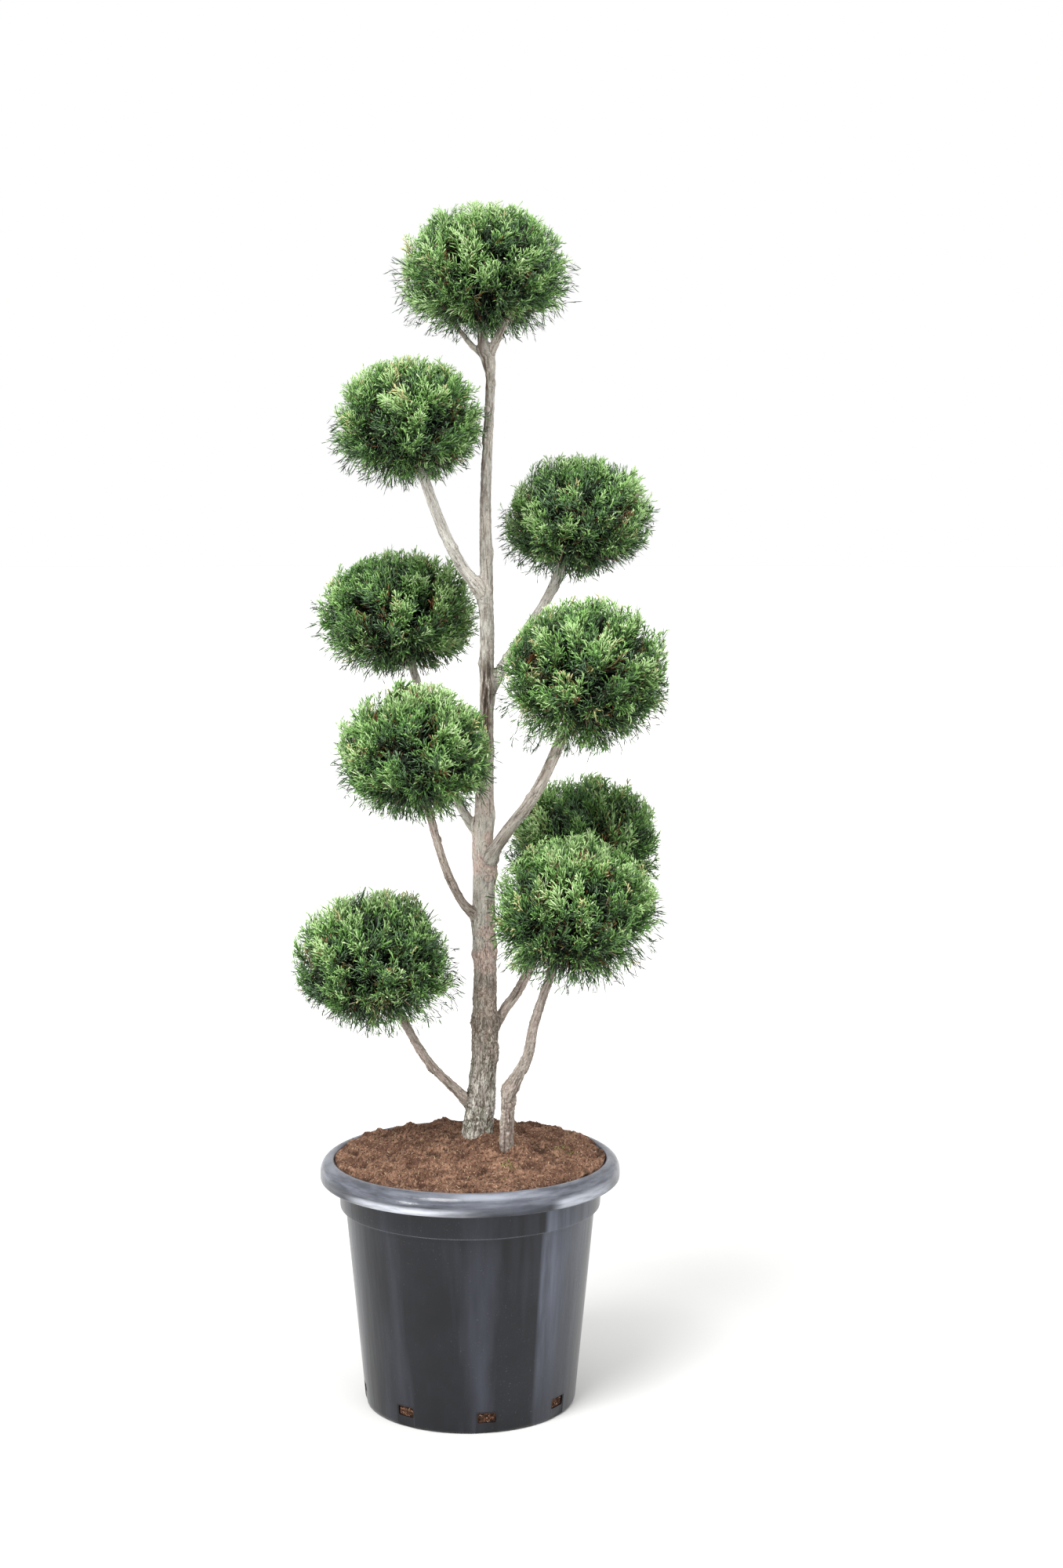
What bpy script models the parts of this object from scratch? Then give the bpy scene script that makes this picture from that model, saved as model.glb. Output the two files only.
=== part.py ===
# Leyland cypress clipped into nine pom-poms, in its black nursery container.
# Metres, +Z up. The origin is the centre of the pot's flat underside, and the front is -Y.
import math
import random

import bmesh
import bpy
from mathutils import Matrix, Vector, noise

# Clearance and fineness
GAP = 0.0003              # between neighbouring solids
WIDE_GAP = 1.5 * GAP      # between round ones, whose flats come closer than their corners
WELD = 0.00001            # merge distance for the caps of tubes
ROUND_STEPS = 36          # sides of the pot and of the peat in it

# Container
POT_HEIGHT = 0.325
POT_WALL = 0.003
POT_FLOOR = 0.004
BASE_RADIUS = 0.140
BASE_ROUND = 0.003
WALL_TOP_RADIUS = 0.1665
BAND_BOTTOM = 0.262
BAND_RADIUS = 0.1735
RIM_BOTTOM = 0.296
RIM_RADIUS = 0.200
RIM_INNER_RADIUS = 0.181
RIM_ROUND = 0.005
RIM_SKIRT = 0.0035        # slope of the rim's lower edge
LIP = 0.0015              # slope of the mouth's inner edge
STEP = 0.002              # of the band under the rim

# Drain notches round the foot of the container
NOTCH_COUNT = 8
NOTCH_FIRST_ANGLE = math.radians(10)
NOTCH_WIDTH = 0.028
NOTCH_HEIGHT = 0.028
NOTCH_DEPTH = 0.0016
DRAIN_WIDTH = 0.024
DRAIN_BOTTOM = 0.0135
DRAIN_TOP = 0.0265
CUTTER_DEPTH = 0.02

# Peat
PEAT_EDGE = 0.3195        # height where it meets the container
PEAT_HEAP = 0.0185        # rise of the heap round the trunk
PEAT_HEAP_REACH = 0.106
PEAT_LUMP = 0.003
PEAT_LUMP_FINENESS = 38
PEAT_RINGS = (0.040, 0.075, 0.112, 0.146, 0.170)
PEAT_CALM = 0.10          # nearer the trunk than this the lumps fade
SEAT = 0.334              # flat in the peat under the trunk
SIDE_SEAT = 0.328         # and under the side stem
SEAT_MARGIN = 0.0015
SEAT_CUT = 0.03           # height of the cutters that level the seats

# Trunk knots: x, y, z and radius, from the flat cut on the peat, past the fork near 1.39
TRUNK = (
    (0.0102, 0.0400, SEAT + GAP, 0.0196),
    (0.0102, 0.0400, 0.3450, 0.0192),
    (0.0150, 0.0400, 0.4000, 0.0178),
    (0.0192, 0.0400, 0.5300, 0.0160),
    (0.0171, 0.0400, 0.7000, 0.0146),
    (0.0204, 0.0400, 0.8810, 0.0105),
    (0.0222, 0.0400, 1.0500, 0.0095),
    (0.0200, 0.0400, 1.2000, 0.0076),
    (0.0263, 0.0400, 1.3400, 0.0063),
    (0.0238, 0.0400, 1.3900, 0.0082),
    (0.0165, 0.0380, 1.4100, 0.0070),
)
TRUNK_TIP = 0.0050
FLARE = 0.16              # spread of the root flare, as a share of the radius
FLARE_HEIGHT = 0.022
FLARE_LOBES = 5
FLARE_HOLLOW = 0.5        # how much less it spreads between the lobes

# Side stem knots, from the flat cut on the peat; its knee is the swelling near 0.42
SIDE_STEM = (
    (0.0486, -0.0120, SIDE_SEAT + GAP, 0.0094),
    (0.0486, -0.0120, 0.3390, 0.0092),
    (0.0512, -0.0370, 0.4070, 0.0088),
    (0.0570, -0.0420, 0.4290, 0.0094),
    (0.0770, -0.0475, 0.4700, 0.0071),
    (0.0890, -0.0540, 0.5250, 0.0062),
)
SIDE_STEM_TIP = 0.0046

# Sides and steps of the limbs: a fineness of 2 has 8 sides and of 3 has 10
TRUNK_FINENESS = 3
TRUNK_STEP = 0.034
BOUGH_FINENESS = 2
BOUGH_STEP = 0.020
HALVINGS = 24             # to find where a limb enters a pom-pom

# Boughs: the pom-pom each one bears, its radius at root and tip, and its bends from the trunk out
BOUGHS = {
    "bough_bottom_left": ("bottom_left", 0.0068, 0.0056,
                          ((0.011, 0.040, 0.368), (-0.012, 0.030, 0.398), (-0.064, 0.004, 0.461))),
    "bough_low_right_back": ("low_right_back", 0.0074, 0.0060,
                             ((0.019, 0.040, 0.470), (0.045, 0.056, 0.509), (0.074, 0.082, 0.550))),
    "bough_low_left": ("low_left", 0.0062, 0.0050,
                       ((0.017, 0.038, 0.632), (-0.012, 0.012, 0.664), (-0.039, -0.036, 0.738))),
    "bough_mid_right": ("mid_right", 0.0086, 0.0072,
                        ((0.017, 0.036, 0.706), (0.046, 0.013, 0.753), (0.097, -0.027, 0.831))),
    "bough_mid_left": ("mid_left", 0.0066, 0.0056,
                       ((0.018, 0.040, 0.744), (-0.014, 0.054, 0.786), (-0.058, 0.096, 0.898))),
    "bough_upper_right": ("upper_right", 0.0078, 0.0066,
                          ((0.021, 0.036, 0.940), (0.063, 0.070, 1.005), (0.108, 0.112, 1.075))),
    "bough_upper_left": ("upper_left", 0.0082, 0.0064,
                         ((0.022, 0.040, 1.070), (-0.014, 0.024, 1.116), (-0.048, -0.001, 1.193))),
    "fork_right": ("top", 0.0054, 0.0044,
                   ((0.0225, 0.0390, 1.384), (0.036, 0.034, 1.416), (0.058, 0.026, 1.456))),
    "fork_left": ("top", 0.0042, 0.0030,
                  ((0.0235, 0.0410, 1.386), (-0.002, 0.0480, 1.412), (-0.028, 0.056, 1.445))),
}
COLLAR = 0.30             # swelling of a bough where it leaves the trunk
COLLAR_LENGTH = 0.014
ROOT_SHARE = 0.6          # of its thickness, where a bough starts inside the trunk

# Pom-poms: heart x, y, z, radius across, rise above the heart and drop below it
POMPOMS = {
    "top": (0.019, 0.040, 1.502, 0.117, 0.098, 0.088),
    "upper_left": (-0.081, -0.010, 1.301, 0.102, 0.089, 0.083),
    "upper_right": (0.146, 0.125, 1.172, 0.102, 0.094, 0.081),
    "mid_left": (-0.103, 0.120, 1.042, 0.112, 0.094, 0.085),
    "mid_right": (0.154, -0.050, 0.972, 0.113, 0.103, 0.103),
    "low_left": (-0.068, -0.070, 0.866, 0.103, 0.101, 0.084),
    "low_right_back": (0.156, 0.140, 0.722, 0.109, 0.100, 0.097),
    "low_right_front": (0.138, -0.065, 0.665, 0.108, 0.100, 0.103),
    "bottom_left": (-0.129, -0.020, 0.590, 0.109, 0.093, 0.093),
}
STEMS = {
    "top": "trunk", "upper_left": "bough_upper_left", "upper_right": "bough_upper_right",
    "mid_left": "bough_mid_left", "mid_right": "bough_mid_right", "low_left": "bough_low_left",
    "low_right_back": "bough_low_right_back", "low_right_front": "side_stem",
    "bottom_left": "bough_bottom_left",
}
CORE_SHARE = 0.77         # size of the dense core against the clipped outline
TUFT_SHARE = (0.91, 0.99) # where the tufts on the core end, against the outline
TUFT_LEAN = 0.12          # how far the tufts turn upwards
TUFT_STRAY = 0.07
TUFT_MARGIN = 0.013       # around a limb the core has no tufts
TIP_SHARE = 0.88          # how far into a pom-pom its bough runs, against the clipped outline

# Sprays of foliage and the twigs that carry them
SPRAYS = 16               # beside one along each axis
SPRAY_LENGTH = (0.050, 0.060)
SPRAY_THICKNESS = 0.0022
SPRAY_TEETH = 3
SPRAY_STRAY = 0.25
SPRAY_FAN = 0.36          # half width across the outer teeth, as a share of the length
SPRAY_SHOULDER = 0.165    # how much shorter the outer teeth are
SPRAY_STALK = 0.07        # half width at the root
VALLEY_SHARE = 0.64       # how far out the valleys between teeth lie
SPRAY_LEAN = (0.25, 0.70) # how far a spray leans over from the way out, mostly upwards
SPRAY_SWING = 1.0         # how far that lean strays to the side
SPRAY_ROLL = 0.5
SPRAY_REACH = (0.97, 1.0)
STEM_STRAIGHT = 0.012     # of the stem, before it turns to the heart
STEM_TAPER = 0.5
FORK_LOWEST = 0.55        # where the lowest twig leaves the stem, as a share of its run
TWIG_OVERLAP = 0.3        # of a spray's length that its twig runs on into it
TWIG_ROOT = 0.0018
TWIG_TIP = 0.0010
LIMB_MARGIN = 0.004       # bare space kept round every limb
SEED = 41

# Finishes: base colour, roughness, metallic
BLACK_PLASTIC = ("black nursery plastic", (0.030, 0.034, 0.040), 0.42, 0.0)
PEAT = ("moist fibrous peat", (0.105, 0.058, 0.036), 0.95, 0.0)
BARK = ("grey fissured bark", (0.330, 0.285, 0.235), 0.88, 0.0)
BOUGH_BARK = ("silvery bough bark", (0.420, 0.385, 0.340), 0.82, 0.0)
FOLIAGE = ("clipped cypress foliage", (0.090, 0.230, 0.055), 0.72, 0.0)


def clear_scene():
    for old in list(bpy.data.objects):
        bpy.data.objects.remove(old, do_unlink=True)


def new_collection(name):
    collection = bpy.data.collections.new(name)
    bpy.context.scene.collection.children.link(collection)
    return collection


def finish(obj, material):
    name, colour, roughness, metallic = material
    finish_material = bpy.data.materials.get(name) or bpy.data.materials.new(name)
    finish_material.use_nodes = True
    shader = finish_material.node_tree.nodes["Principled BSDF"]
    shader.inputs["Base Color"].default_value = (*colour, 1.0)
    shader.inputs["Roughness"].default_value = roughness
    shader.inputs["Metallic"].default_value = metallic
    obj.data.materials.clear()
    obj.data.materials.append(finish_material)


def object_from(mesh, name, collection):
    obj = bpy.data.objects.new(name, mesh)
    collection.objects.link(obj)
    return obj


def evaluated_mesh(obj):
    """The mesh that an object shows with its modifiers, on its own."""
    graph = bpy.context.evaluated_depsgraph_get()
    graph.update()
    return bpy.data.meshes.new_from_object(obj.evaluated_get(graph))


def make_cutter(obj, collection):
    """Put an object among the cutters, out of renders."""
    for holder in list(obj.users_collection):
        holder.objects.unlink(obj)
    collection.objects.link(obj)
    obj.hide_render = True
    obj.display_type = "WIRE"


def cut_away(obj, cutters):
    cut = obj.modifiers.new(cutters.name, "BOOLEAN")
    cut.operand_type = "COLLECTION"
    cut.operation = "DIFFERENCE"
    cut.solver = "EXACT"
    cut.collection = cutters


def turned(name, profile, collection):
    """A solid turned from (radius, height) points that run down its outer side."""
    mesh = bpy.data.meshes.new(name)
    shape = bmesh.new()
    corners = [shape.verts.new((radius, 0.0, height)) for radius, height in profile]
    for first, second in zip(corners, corners[1:]):
        shape.edges.new((first, second))
    shape.to_mesh(mesh)
    shape.free()
    obj = object_from(mesh, name, collection)
    screw = obj.modifiers.new("turn", "SCREW")
    screw.steps = ROUND_STEPS
    screw.render_steps = ROUND_STEPS
    screw.use_merge_vertices = True
    screw.merge_threshold = 0.0001
    screw.use_smooth_shade = True
    return obj


def pot_inside():
    """Radius and height of the container's inner wall, from its floor to its mouth."""
    return (
        (BASE_RADIUS - POT_WALL, POT_FLOOR),
        (WALL_TOP_RADIUS - POT_WALL, BAND_BOTTOM),
        (BAND_RADIUS - POT_WALL, BAND_BOTTOM + 2 * POT_WALL),
        (BAND_RADIUS - POT_WALL + STEP, RIM_BOTTOM),
        (RIM_INNER_RADIUS, PEAT_EDGE),
    )


def make_pot(parts, notches, drains):
    outside = [
        (RIM_INNER_RADIUS + LIP, POT_HEIGHT - LIP),
        (RIM_INNER_RADIUS + RIM_ROUND, POT_HEIGHT),
        (RIM_RADIUS - RIM_ROUND, POT_HEIGHT),
        (RIM_RADIUS - LIP, POT_HEIGHT - LIP),
        (RIM_RADIUS, POT_HEIGHT - RIM_ROUND),
        (RIM_RADIUS, RIM_BOTTOM + RIM_SKIRT),
        (RIM_RADIUS - RIM_SKIRT, RIM_BOTTOM),
        (BAND_RADIUS + STEP, RIM_BOTTOM),
        (BAND_RADIUS, BAND_BOTTOM),
        (WALL_TOP_RADIUS, BAND_BOTTOM - POT_WALL),
        (BASE_RADIUS, BASE_ROUND),
        (BASE_RADIUS - BASE_ROUND, 0.0),
        (0.0, 0.0),
    ]
    pot = turned("pot", [(0.0, POT_FLOOR), *pot_inside(), *outside], parts)
    slope = math.atan2(WALL_TOP_RADIUS - BASE_RADIUS, BAND_BOTTOM)
    for number in range(NOTCH_COUNT):
        angle = NOTCH_FIRST_ANGLE + number * math.tau / NOTCH_COUNT
        place_notch_cutters(angle, slope, notches, drains)
    cut_away(pot, notches)
    cut_away(pot, drains)
    finish(pot, BLACK_PLASTIC)
    return pot


def place_notch_cutters(angle, slope, notches, drains):
    """A shallow recess from the ground up, and the open drain in its upper half."""
    outward = Vector((math.sin(angle), -math.cos(angle), 0.0))
    turn = Matrix.Rotation(angle, 4, "Z") @ Matrix.Rotation(slope, 4, "X")
    sunk = CUTTER_DEPTH / 2 - NOTCH_DEPTH
    for label, width, bottom, top, reach, group in (
            ("notch", NOTCH_WIDTH, -NOTCH_HEIGHT, NOTCH_HEIGHT, sunk, notches),
            ("drain", DRAIN_WIDTH, DRAIN_BOTTOM, DRAIN_TOP, 0.0, drains)):
        middle = (bottom + top) / 2
        radius = BASE_RADIUS + middle * math.tan(slope) + reach
        bpy.ops.mesh.primitive_cube_add(size=1.0)
        box = bpy.context.object
        box.name = f"{label}_cutter"
        size = Matrix.Diagonal((width, CUTTER_DEPTH, top - bottom, 1.0))
        box.matrix_world = Matrix.Translation(outward * radius + Vector((0, 0, middle))) @ turn @ size
        make_cutter(box, group)


def peat_height(x, y):
    """Height of the peat's surface: a low heap round the trunk, with lumps."""
    from_trunk = math.hypot(x - TRUNK[0][0], y - TRUNK[0][1])
    heap = PEAT_HEAP * math.exp(-(from_trunk / PEAT_HEAP_REACH) ** 2)
    lump = PEAT_LUMP * min(1.0, from_trunk / PEAT_CALM)
    return PEAT_EDGE + heap + lump * noise.noise(Vector((x, y, 0.0)) * PEAT_LUMP_FINENESS)


def make_peat(parts, seats):
    wall = [(radius - WIDE_GAP, height) for radius, height in reversed(pot_inside())]
    wall[0] = (wall[0][0], PEAT_EDGE - GAP)
    wall[-1] = (wall[-1][0], POT_FLOOR + GAP)
    profile = [(0.0, PEAT_EDGE), *[(ring, PEAT_EDGE) for ring in PEAT_RINGS], *wall]
    blank = turned("peat", [*profile, (0.0, POT_FLOOR + GAP)], parts)
    mesh = evaluated_mesh(blank)
    bpy.data.objects.remove(blank)
    for corner in mesh.vertices:
        if corner.co.z > PEAT_EDGE - GAP / 2:
            corner.co.z = peat_height(corner.co.x, corner.co.y)
    peat = object_from(mesh, "peat", parts)
    for knots in (TRUNK, SIDE_STEM):
        x, y, foot, radius = knots[0]
        flared = radius * (1 + FLARE) + SEAT_MARGIN
        bpy.ops.mesh.primitive_cylinder_add(vertices=24, radius=flared, depth=SEAT_CUT,
                                            location=(x, y, foot - GAP + SEAT_CUT / 2))
        seat = bpy.context.object
        seat.name = "seat_cutter"
        make_cutter(seat, seats)
    cut_away(peat, seats)
    finish(peat, PEAT)
    return peat


def smooth_path(knots, spacing):
    """Points of a smooth curve through (x, y, z, radius) knots, about one every spacing."""
    knots = [Vector(knot) for knot in knots]
    before = 2 * knots[0] - knots[1]
    after = 2 * knots[-1] - knots[-2]
    ends = [before, *knots, after]
    path = []
    for a, b, c, d in zip(ends, ends[1:], ends[2:], ends[3:]):
        steps = max(1, round((c - b).xyz.length / spacing))
        for step in range(steps):
            t = step / steps
            path.append(0.5 * (2 * b + (c - a) * t + (2 * a - 5 * b + 4 * c - d) * t * t
                               + (3 * b - a - 3 * c + d) * t ** 3))
    path.append(knots[-1])
    return path


def tube(name, path, resolution, collection, grow=0.0):
    """A limb along (x, y, z, radius) points, as a closed mesh; more resolution has more sides."""
    curve = bpy.data.curves.new(name, "CURVE")
    curve.dimensions = "3D"
    curve.bevel_depth = 1.0
    curve.bevel_resolution = resolution
    curve.use_fill_caps = True
    spline = curve.splines.new("POLY")
    spline.points.add(len(path) - 1)
    for point, (x, y, z, radius) in zip(spline.points, path):
        point.co = (x, y, z, 1.0)
        point.radius = radius + grow
    guide = object_from(curve, name, collection)
    mesh = evaluated_mesh(guide)
    bpy.data.objects.remove(guide)
    bpy.data.curves.remove(curve)
    shape = bmesh.new()
    shape.from_mesh(mesh)
    bmesh.ops.remove_doubles(shape, verts=shape.verts, dist=WELD)
    shape.to_mesh(mesh)
    shape.free()
    mesh.name = name
    mesh.shade_smooth()
    return object_from(mesh, name, collection)


def spread_roots(obj, knots):
    """Flare the foot of a stem into lobes, with its cut kept flat."""
    x, y, foot, _ = knots[0]
    for corner in obj.data.vertices:
        height = corner.co.z - foot
        angle = math.atan2(corner.co.y - y, corner.co.x - x)
        lobes = 1 - FLARE_HOLLOW * (1 - math.cos(FLARE_LOBES * angle)) / 2
        spread = 1 + FLARE * lobes * math.exp(-max(height, 0.0) / FLARE_HEIGHT)
        corner.co.x = x + (corner.co.x - x) * spread
        corner.co.y = y + (corner.co.y - y) * spread


def outline_share(pompom, point):
    """1 on the clipped outline of a pom-pom, and less inside it."""
    x, y, z, radius, rise, drop = POMPOMS[pompom]
    across = math.hypot(point[0] - x, point[1] - y) / radius
    height = point[2] - z
    return math.hypot(across, height / (rise if height > 0 else drop))


def run_into(path, pompom):
    """Cut a limb's path where it enters a pom-pom."""
    kept = []
    for point in path:
        if outline_share(pompom, point) < TIP_SHARE:
            outer, inner = kept[-1], point
            for _ in range(HALVINGS):
                middle = (outer + inner) / 2
                if outline_share(pompom, middle) < TIP_SHARE:
                    inner = middle
                else:
                    outer = middle
            kept.append(outer)
            break
        kept.append(point)
    if (kept[-1] - kept[-2]).xyz.length < BOUGH_STEP / 4:
        del kept[-2]
    return kept


def bough_path(name):
    pompom, root_radius, tip_radius, bends = BOUGHS[name]
    heart = POMPOMS[pompom][:3]
    bends = [*bends, heart] if STEMS[pompom] == name else list(bends)
    knots = []
    for number, bend in enumerate(bends):
        share = number / (len(bends) - 1)
        knots.append((*bend, root_radius + (tip_radius - root_radius) * share))
    path = run_into(smooth_path(knots, BOUGH_STEP), pompom)
    travelled = 0.0
    for number, point in enumerate(path):
        if number:
            travelled += (point - path[number - 1]).xyz.length
        point.w *= 1 + COLLAR * math.exp(-((travelled - COLLAR_LENGTH) / COLLAR_LENGTH) ** 2)
    path[0].w *= ROOT_SHARE
    return path


def stem_path(knots, pompom, tip_radius, spacing):
    """A stem's path from the peat up into the pom-pom that it ends in."""
    heart = (*POMPOMS[pompom][:3], tip_radius)
    return run_into(smooth_path([*knots, heart], spacing), pompom)


def make_limbs(parts, cutters):
    """Trunk, side stem and boughs. Each bough starts inside the trunk and is cut clear of it."""
    paths = {
        "trunk": stem_path(TRUNK, "top", TRUNK_TIP, TRUNK_STEP),
        "side_stem": stem_path(SIDE_STEM, "low_right_front", SIDE_STEM_TIP, BOUGH_STEP),
    }
    for name in BOUGHS:
        paths[name] = bough_path(name)
    trunk = tube("trunk", paths["trunk"], TRUNK_FINENESS, parts)
    spread_roots(trunk, TRUNK)
    finish(trunk, BARK)
    side_stem = tube("side_stem", paths["side_stem"], BOUGH_FINENESS, parts)
    spread_roots(side_stem, SIDE_STEM)
    finish(side_stem, BARK)
    grown = tube("trunk_cutter", paths["trunk"], TRUNK_FINENESS, cutters, grow=WIDE_GAP)
    spread_roots(grown, TRUNK)
    make_cutter(grown, cutters)
    for name in BOUGHS:
        bough = tube(name, paths[name], BOUGH_FINENESS, parts)
        cut_away(bough, cutters)
        finish(bough, BOUGH_BARK)
    return paths


def make_core(pompom, collection, paths, dice):
    """The dense heart of a clipped pom-pom, with the lumps of its tufts."""
    heart = Vector(POMPOMS[pompom][:3])
    shape = bmesh.new()
    bmesh.ops.create_icosphere(shape, subdivisions=2, radius=1.0)
    tufts = set(bmesh.ops.poke(shape, faces=shape.faces)["verts"])
    for corner in shape.verts:
        way = corner.co.normalized()
        share = CORE_SHARE * dice.uniform(0.95, 1.05)
        if corner in tufts:
            share = dice.uniform(*TUFT_SHARE)
            stray = Vector([dice.uniform(-1, 1) for _ in range(3)]) * TUFT_STRAY
            way = (way + stray + Vector((0, 0, TUFT_LEAN))).normalized()
        corner.co = heart + way / outline_share(pompom, heart + way) * share
        if corner in tufts and touches_limb(corner.co, paths, TUFT_MARGIN):
            corner.co = heart + (corner.co - heart) * CORE_SHARE / share
    mesh = bpy.data.meshes.new(f"core_{pompom}")
    shape.to_mesh(mesh)
    shape.free()
    return object_from(mesh, f"foliage_{pompom}", collection)


def spray_blade():
    """A flat toothed spray of unit length along +Y, lying in XY, as a mesh."""
    curve = bpy.data.curves.new("spray", "CURVE")
    curve.dimensions = "2D"
    curve.fill_mode = "BOTH"
    curve.extrude = 0.5
    half = SPRAY_TEETH // 2
    outline = [(-SPRAY_STALK, 0.0)]
    for tooth in range(-half, half + 1):
        fan = tooth / half
        outline.append((SPRAY_FAN * fan, 1.0 - SPRAY_SHOULDER * fan * fan))
        if tooth < half:
            valley = (tooth + 0.5) / half
            outline.append((SPRAY_FAN * VALLEY_SHARE * valley, VALLEY_SHARE))
    outline.append((SPRAY_STALK, 0.0))
    spline = curve.splines.new("POLY")
    spline.points.add(len(outline) - 1)
    for point, (x, y) in zip(spline.points, outline):
        point.co = (x, y, 0.0, 1.0)
    spline.use_cyclic_u = True
    guide = object_from(curve, "spray", bpy.context.scene.collection)
    mesh = evaluated_mesh(guide)
    bpy.data.objects.remove(guide)
    bpy.data.curves.remove(curve)
    shape = bmesh.new()
    shape.from_mesh(mesh)
    bmesh.ops.remove_doubles(shape, verts=shape.verts, dist=WELD)
    bmesh.ops.recalc_face_normals(shape, faces=shape.faces)
    shape.to_mesh(mesh)
    shape.free()
    return mesh


def touches_limb(point, paths, margin):
    for path in paths.values():
        for first, second in zip(path, path[1:]):
            along = second.xyz - first.xyz
            share = min(max((point - first.xyz).dot(along) / along.length_squared, 0.0), 1.0)
            if (point - first.xyz - along * share).length < first.w + margin:
                return True
    return False


def in_own_space(pompom, corners, paths):
    """Whether a spray stays within its pom-pom and clear of every limb and neighbour."""
    for corner in corners:
        if outline_share(pompom, corner) > 1.001 or touches_limb(corner, paths, LIMB_MARGIN):
            return False
        if any(outline_share(other, corner) < 1.03 for other in POMPOMS if other != pompom):
            return False
    return True


def spray_ways(dice):
    """Directions out of a pom-pom's heart: one along each axis, and an even spread between."""
    ways = [Vector(axis) * sign for axis in ((1, 0, 0), (0, 1, 0), (0, 0, 1)) for sign in (1, -1)]
    golden = math.pi * (3 - math.sqrt(5))
    for number in range(SPRAYS):
        height = 1 - 2 * (number + 0.5) / SPRAYS
        around = number * golden + dice.uniform(-SPRAY_STRAY, SPRAY_STRAY)
        level = math.sqrt(1 - height * height)
        ways.append(Vector((level * math.cos(around), level * math.sin(around), height)))
    return ways


def make_pompom(pompom, parts, paths, blade, dice):
    """Twigs branch from one stem out through the core, and each carries a spray to the outline."""
    heart = Vector(POMPOMS[pompom][:3])
    limb = paths[STEMS[pompom]]
    way_in = (limb[-1].xyz - limb[-2].xyz).normalized()
    stem_foot = limb[-1].xyz + way_in * GAP
    stem_width = limb[-1].w
    group = new_collection(f"twigs_{pompom}")
    knee = stem_foot + way_in * STEM_STRAIGHT
    stem = [Vector((*stem_foot, stem_width)), Vector((*knee, stem_width)),
            Vector((*heart, stem_width * STEM_TAPER))]
    tube("stem", stem, BOUGH_FINENESS, group)
    for way in spray_ways(dice):
        reach = dice.uniform(*SPRAY_REACH)
        tip = heart + way / outline_share(pompom, heart + way) * reach
        swing = Matrix.Rotation(dice.uniform(-SPRAY_SWING, SPRAY_SWING), 3, way)
        lean = swing @ (Vector((0.1, 0.0, 1.0)) - way * way.z).normalized()
        axis = (way + lean * dice.uniform(*SPRAY_LEAN)).normalized()
        length = dice.uniform(*SPRAY_LENGTH)
        side = axis.cross(way).normalized()
        side = Matrix.Rotation(dice.uniform(-SPRAY_ROLL, SPRAY_ROLL), 3, axis) @ side
        root = tip - axis * length
        turn = Matrix((side, axis, side.cross(axis))).transposed().to_4x4()
        size = Matrix.Diagonal((length, length, SPRAY_THICKNESS, 1.0))
        place = Matrix.Translation(root) @ turn @ size
        outer = [place @ corner.co for corner in blade.vertices if corner.co.y > 0.5]
        furthest = max(outline_share(pompom, corner) for corner in outer)
        inwards = Matrix.Translation((heart - tip) * (1 - reach / furthest))
        place = inwards @ place
        root = inwards @ root
        if not in_own_space(pompom, [inwards @ corner for corner in outer], paths):
            continue
        spray = object_from(blade, "spray", group)
        spray.matrix_world = place
        fork = stem_foot.lerp(heart, FORK_LOWEST + (1 - FORK_LOWEST) * (way.z + 1) / 2)
        add_twig(fork, root + axis * length * TWIG_OVERLAP, group)
    core = make_core(pompom, parts, paths, dice)
    fuse(core, group)
    finish(core, FOLIAGE)
    return core


def add_twig(start, end, collection):
    """A three-sided tapering twig."""
    shape = bmesh.new()
    bmesh.ops.create_cone(shape, cap_ends=True, segments=3, radius1=TWIG_ROOT, radius2=TWIG_TIP,
                          depth=(end - start).length)
    mesh = bpy.data.meshes.new("twig")
    shape.to_mesh(mesh)
    shape.free()
    twig = object_from(mesh, "twig", collection)
    turn = (end - start).to_track_quat("Z", "Y").to_matrix().to_4x4()
    twig.matrix_world = Matrix.Translation((start + end) / 2) @ turn


def keep_main_shell(mesh):
    """Fill sealed hollows and drop loose scraps, so that only the largest shell stays."""
    shape = bmesh.new()
    shape.from_mesh(mesh)
    waiting = set(shape.verts)
    main_shell = set()
    while waiting:
        reached = [waiting.pop()]
        shell = set(reached)
        while reached:
            for edge in reached.pop().link_edges:
                for corner in edge.verts:
                    if corner not in shell:
                        shell.add(corner)
                        reached.append(corner)
        waiting -= shell
        main_shell = max(main_shell, shell, key=len)
    extra = [corner for corner in shape.verts if corner not in main_shell]
    bmesh.ops.delete(shape, geom=extra, context="VERTS")
    shape.to_mesh(mesh)
    shape.free()


def fuse(core, group):
    """Join a core with its stem, twigs and sprays into one solid."""
    union = core.modifiers.new("fuse", "BOOLEAN")
    union.operand_type = "COLLECTION"
    union.operation = "UNION"
    union.solver = "MANIFOLD"
    union.collection = group
    joined = evaluated_mesh(core)
    keep_main_shell(joined)
    core.modifiers.clear()
    core.data = joined
    for piece in list(group.objects):
        bpy.data.objects.remove(piece)
    bpy.data.collections.remove(group)


def main():
    clear_scene()
    parts = new_collection("potted_cypress_topiary")
    notches = new_collection("notch_cutters")
    drains = new_collection("drain_cutters")
    seats = new_collection("seat_cutters")
    limbs = new_collection("limb_cutters")
    make_pot(parts, notches, drains)
    make_peat(parts, seats)
    paths = make_limbs(parts, limbs)
    blade = spray_blade()
    dice = random.Random(SEED)
    for pompom in POMPOMS:
        make_pompom(pompom, parts, paths, blade, dice)


main()
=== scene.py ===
# Looks of a leyland cypress clipped into nine pom-poms, in its nursery container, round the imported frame.
# Metres, +Z up, front at -Y, as in the frame.
import math

import bpy
import numpy as np
from mathutils import Matrix, Vector, noise


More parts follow.
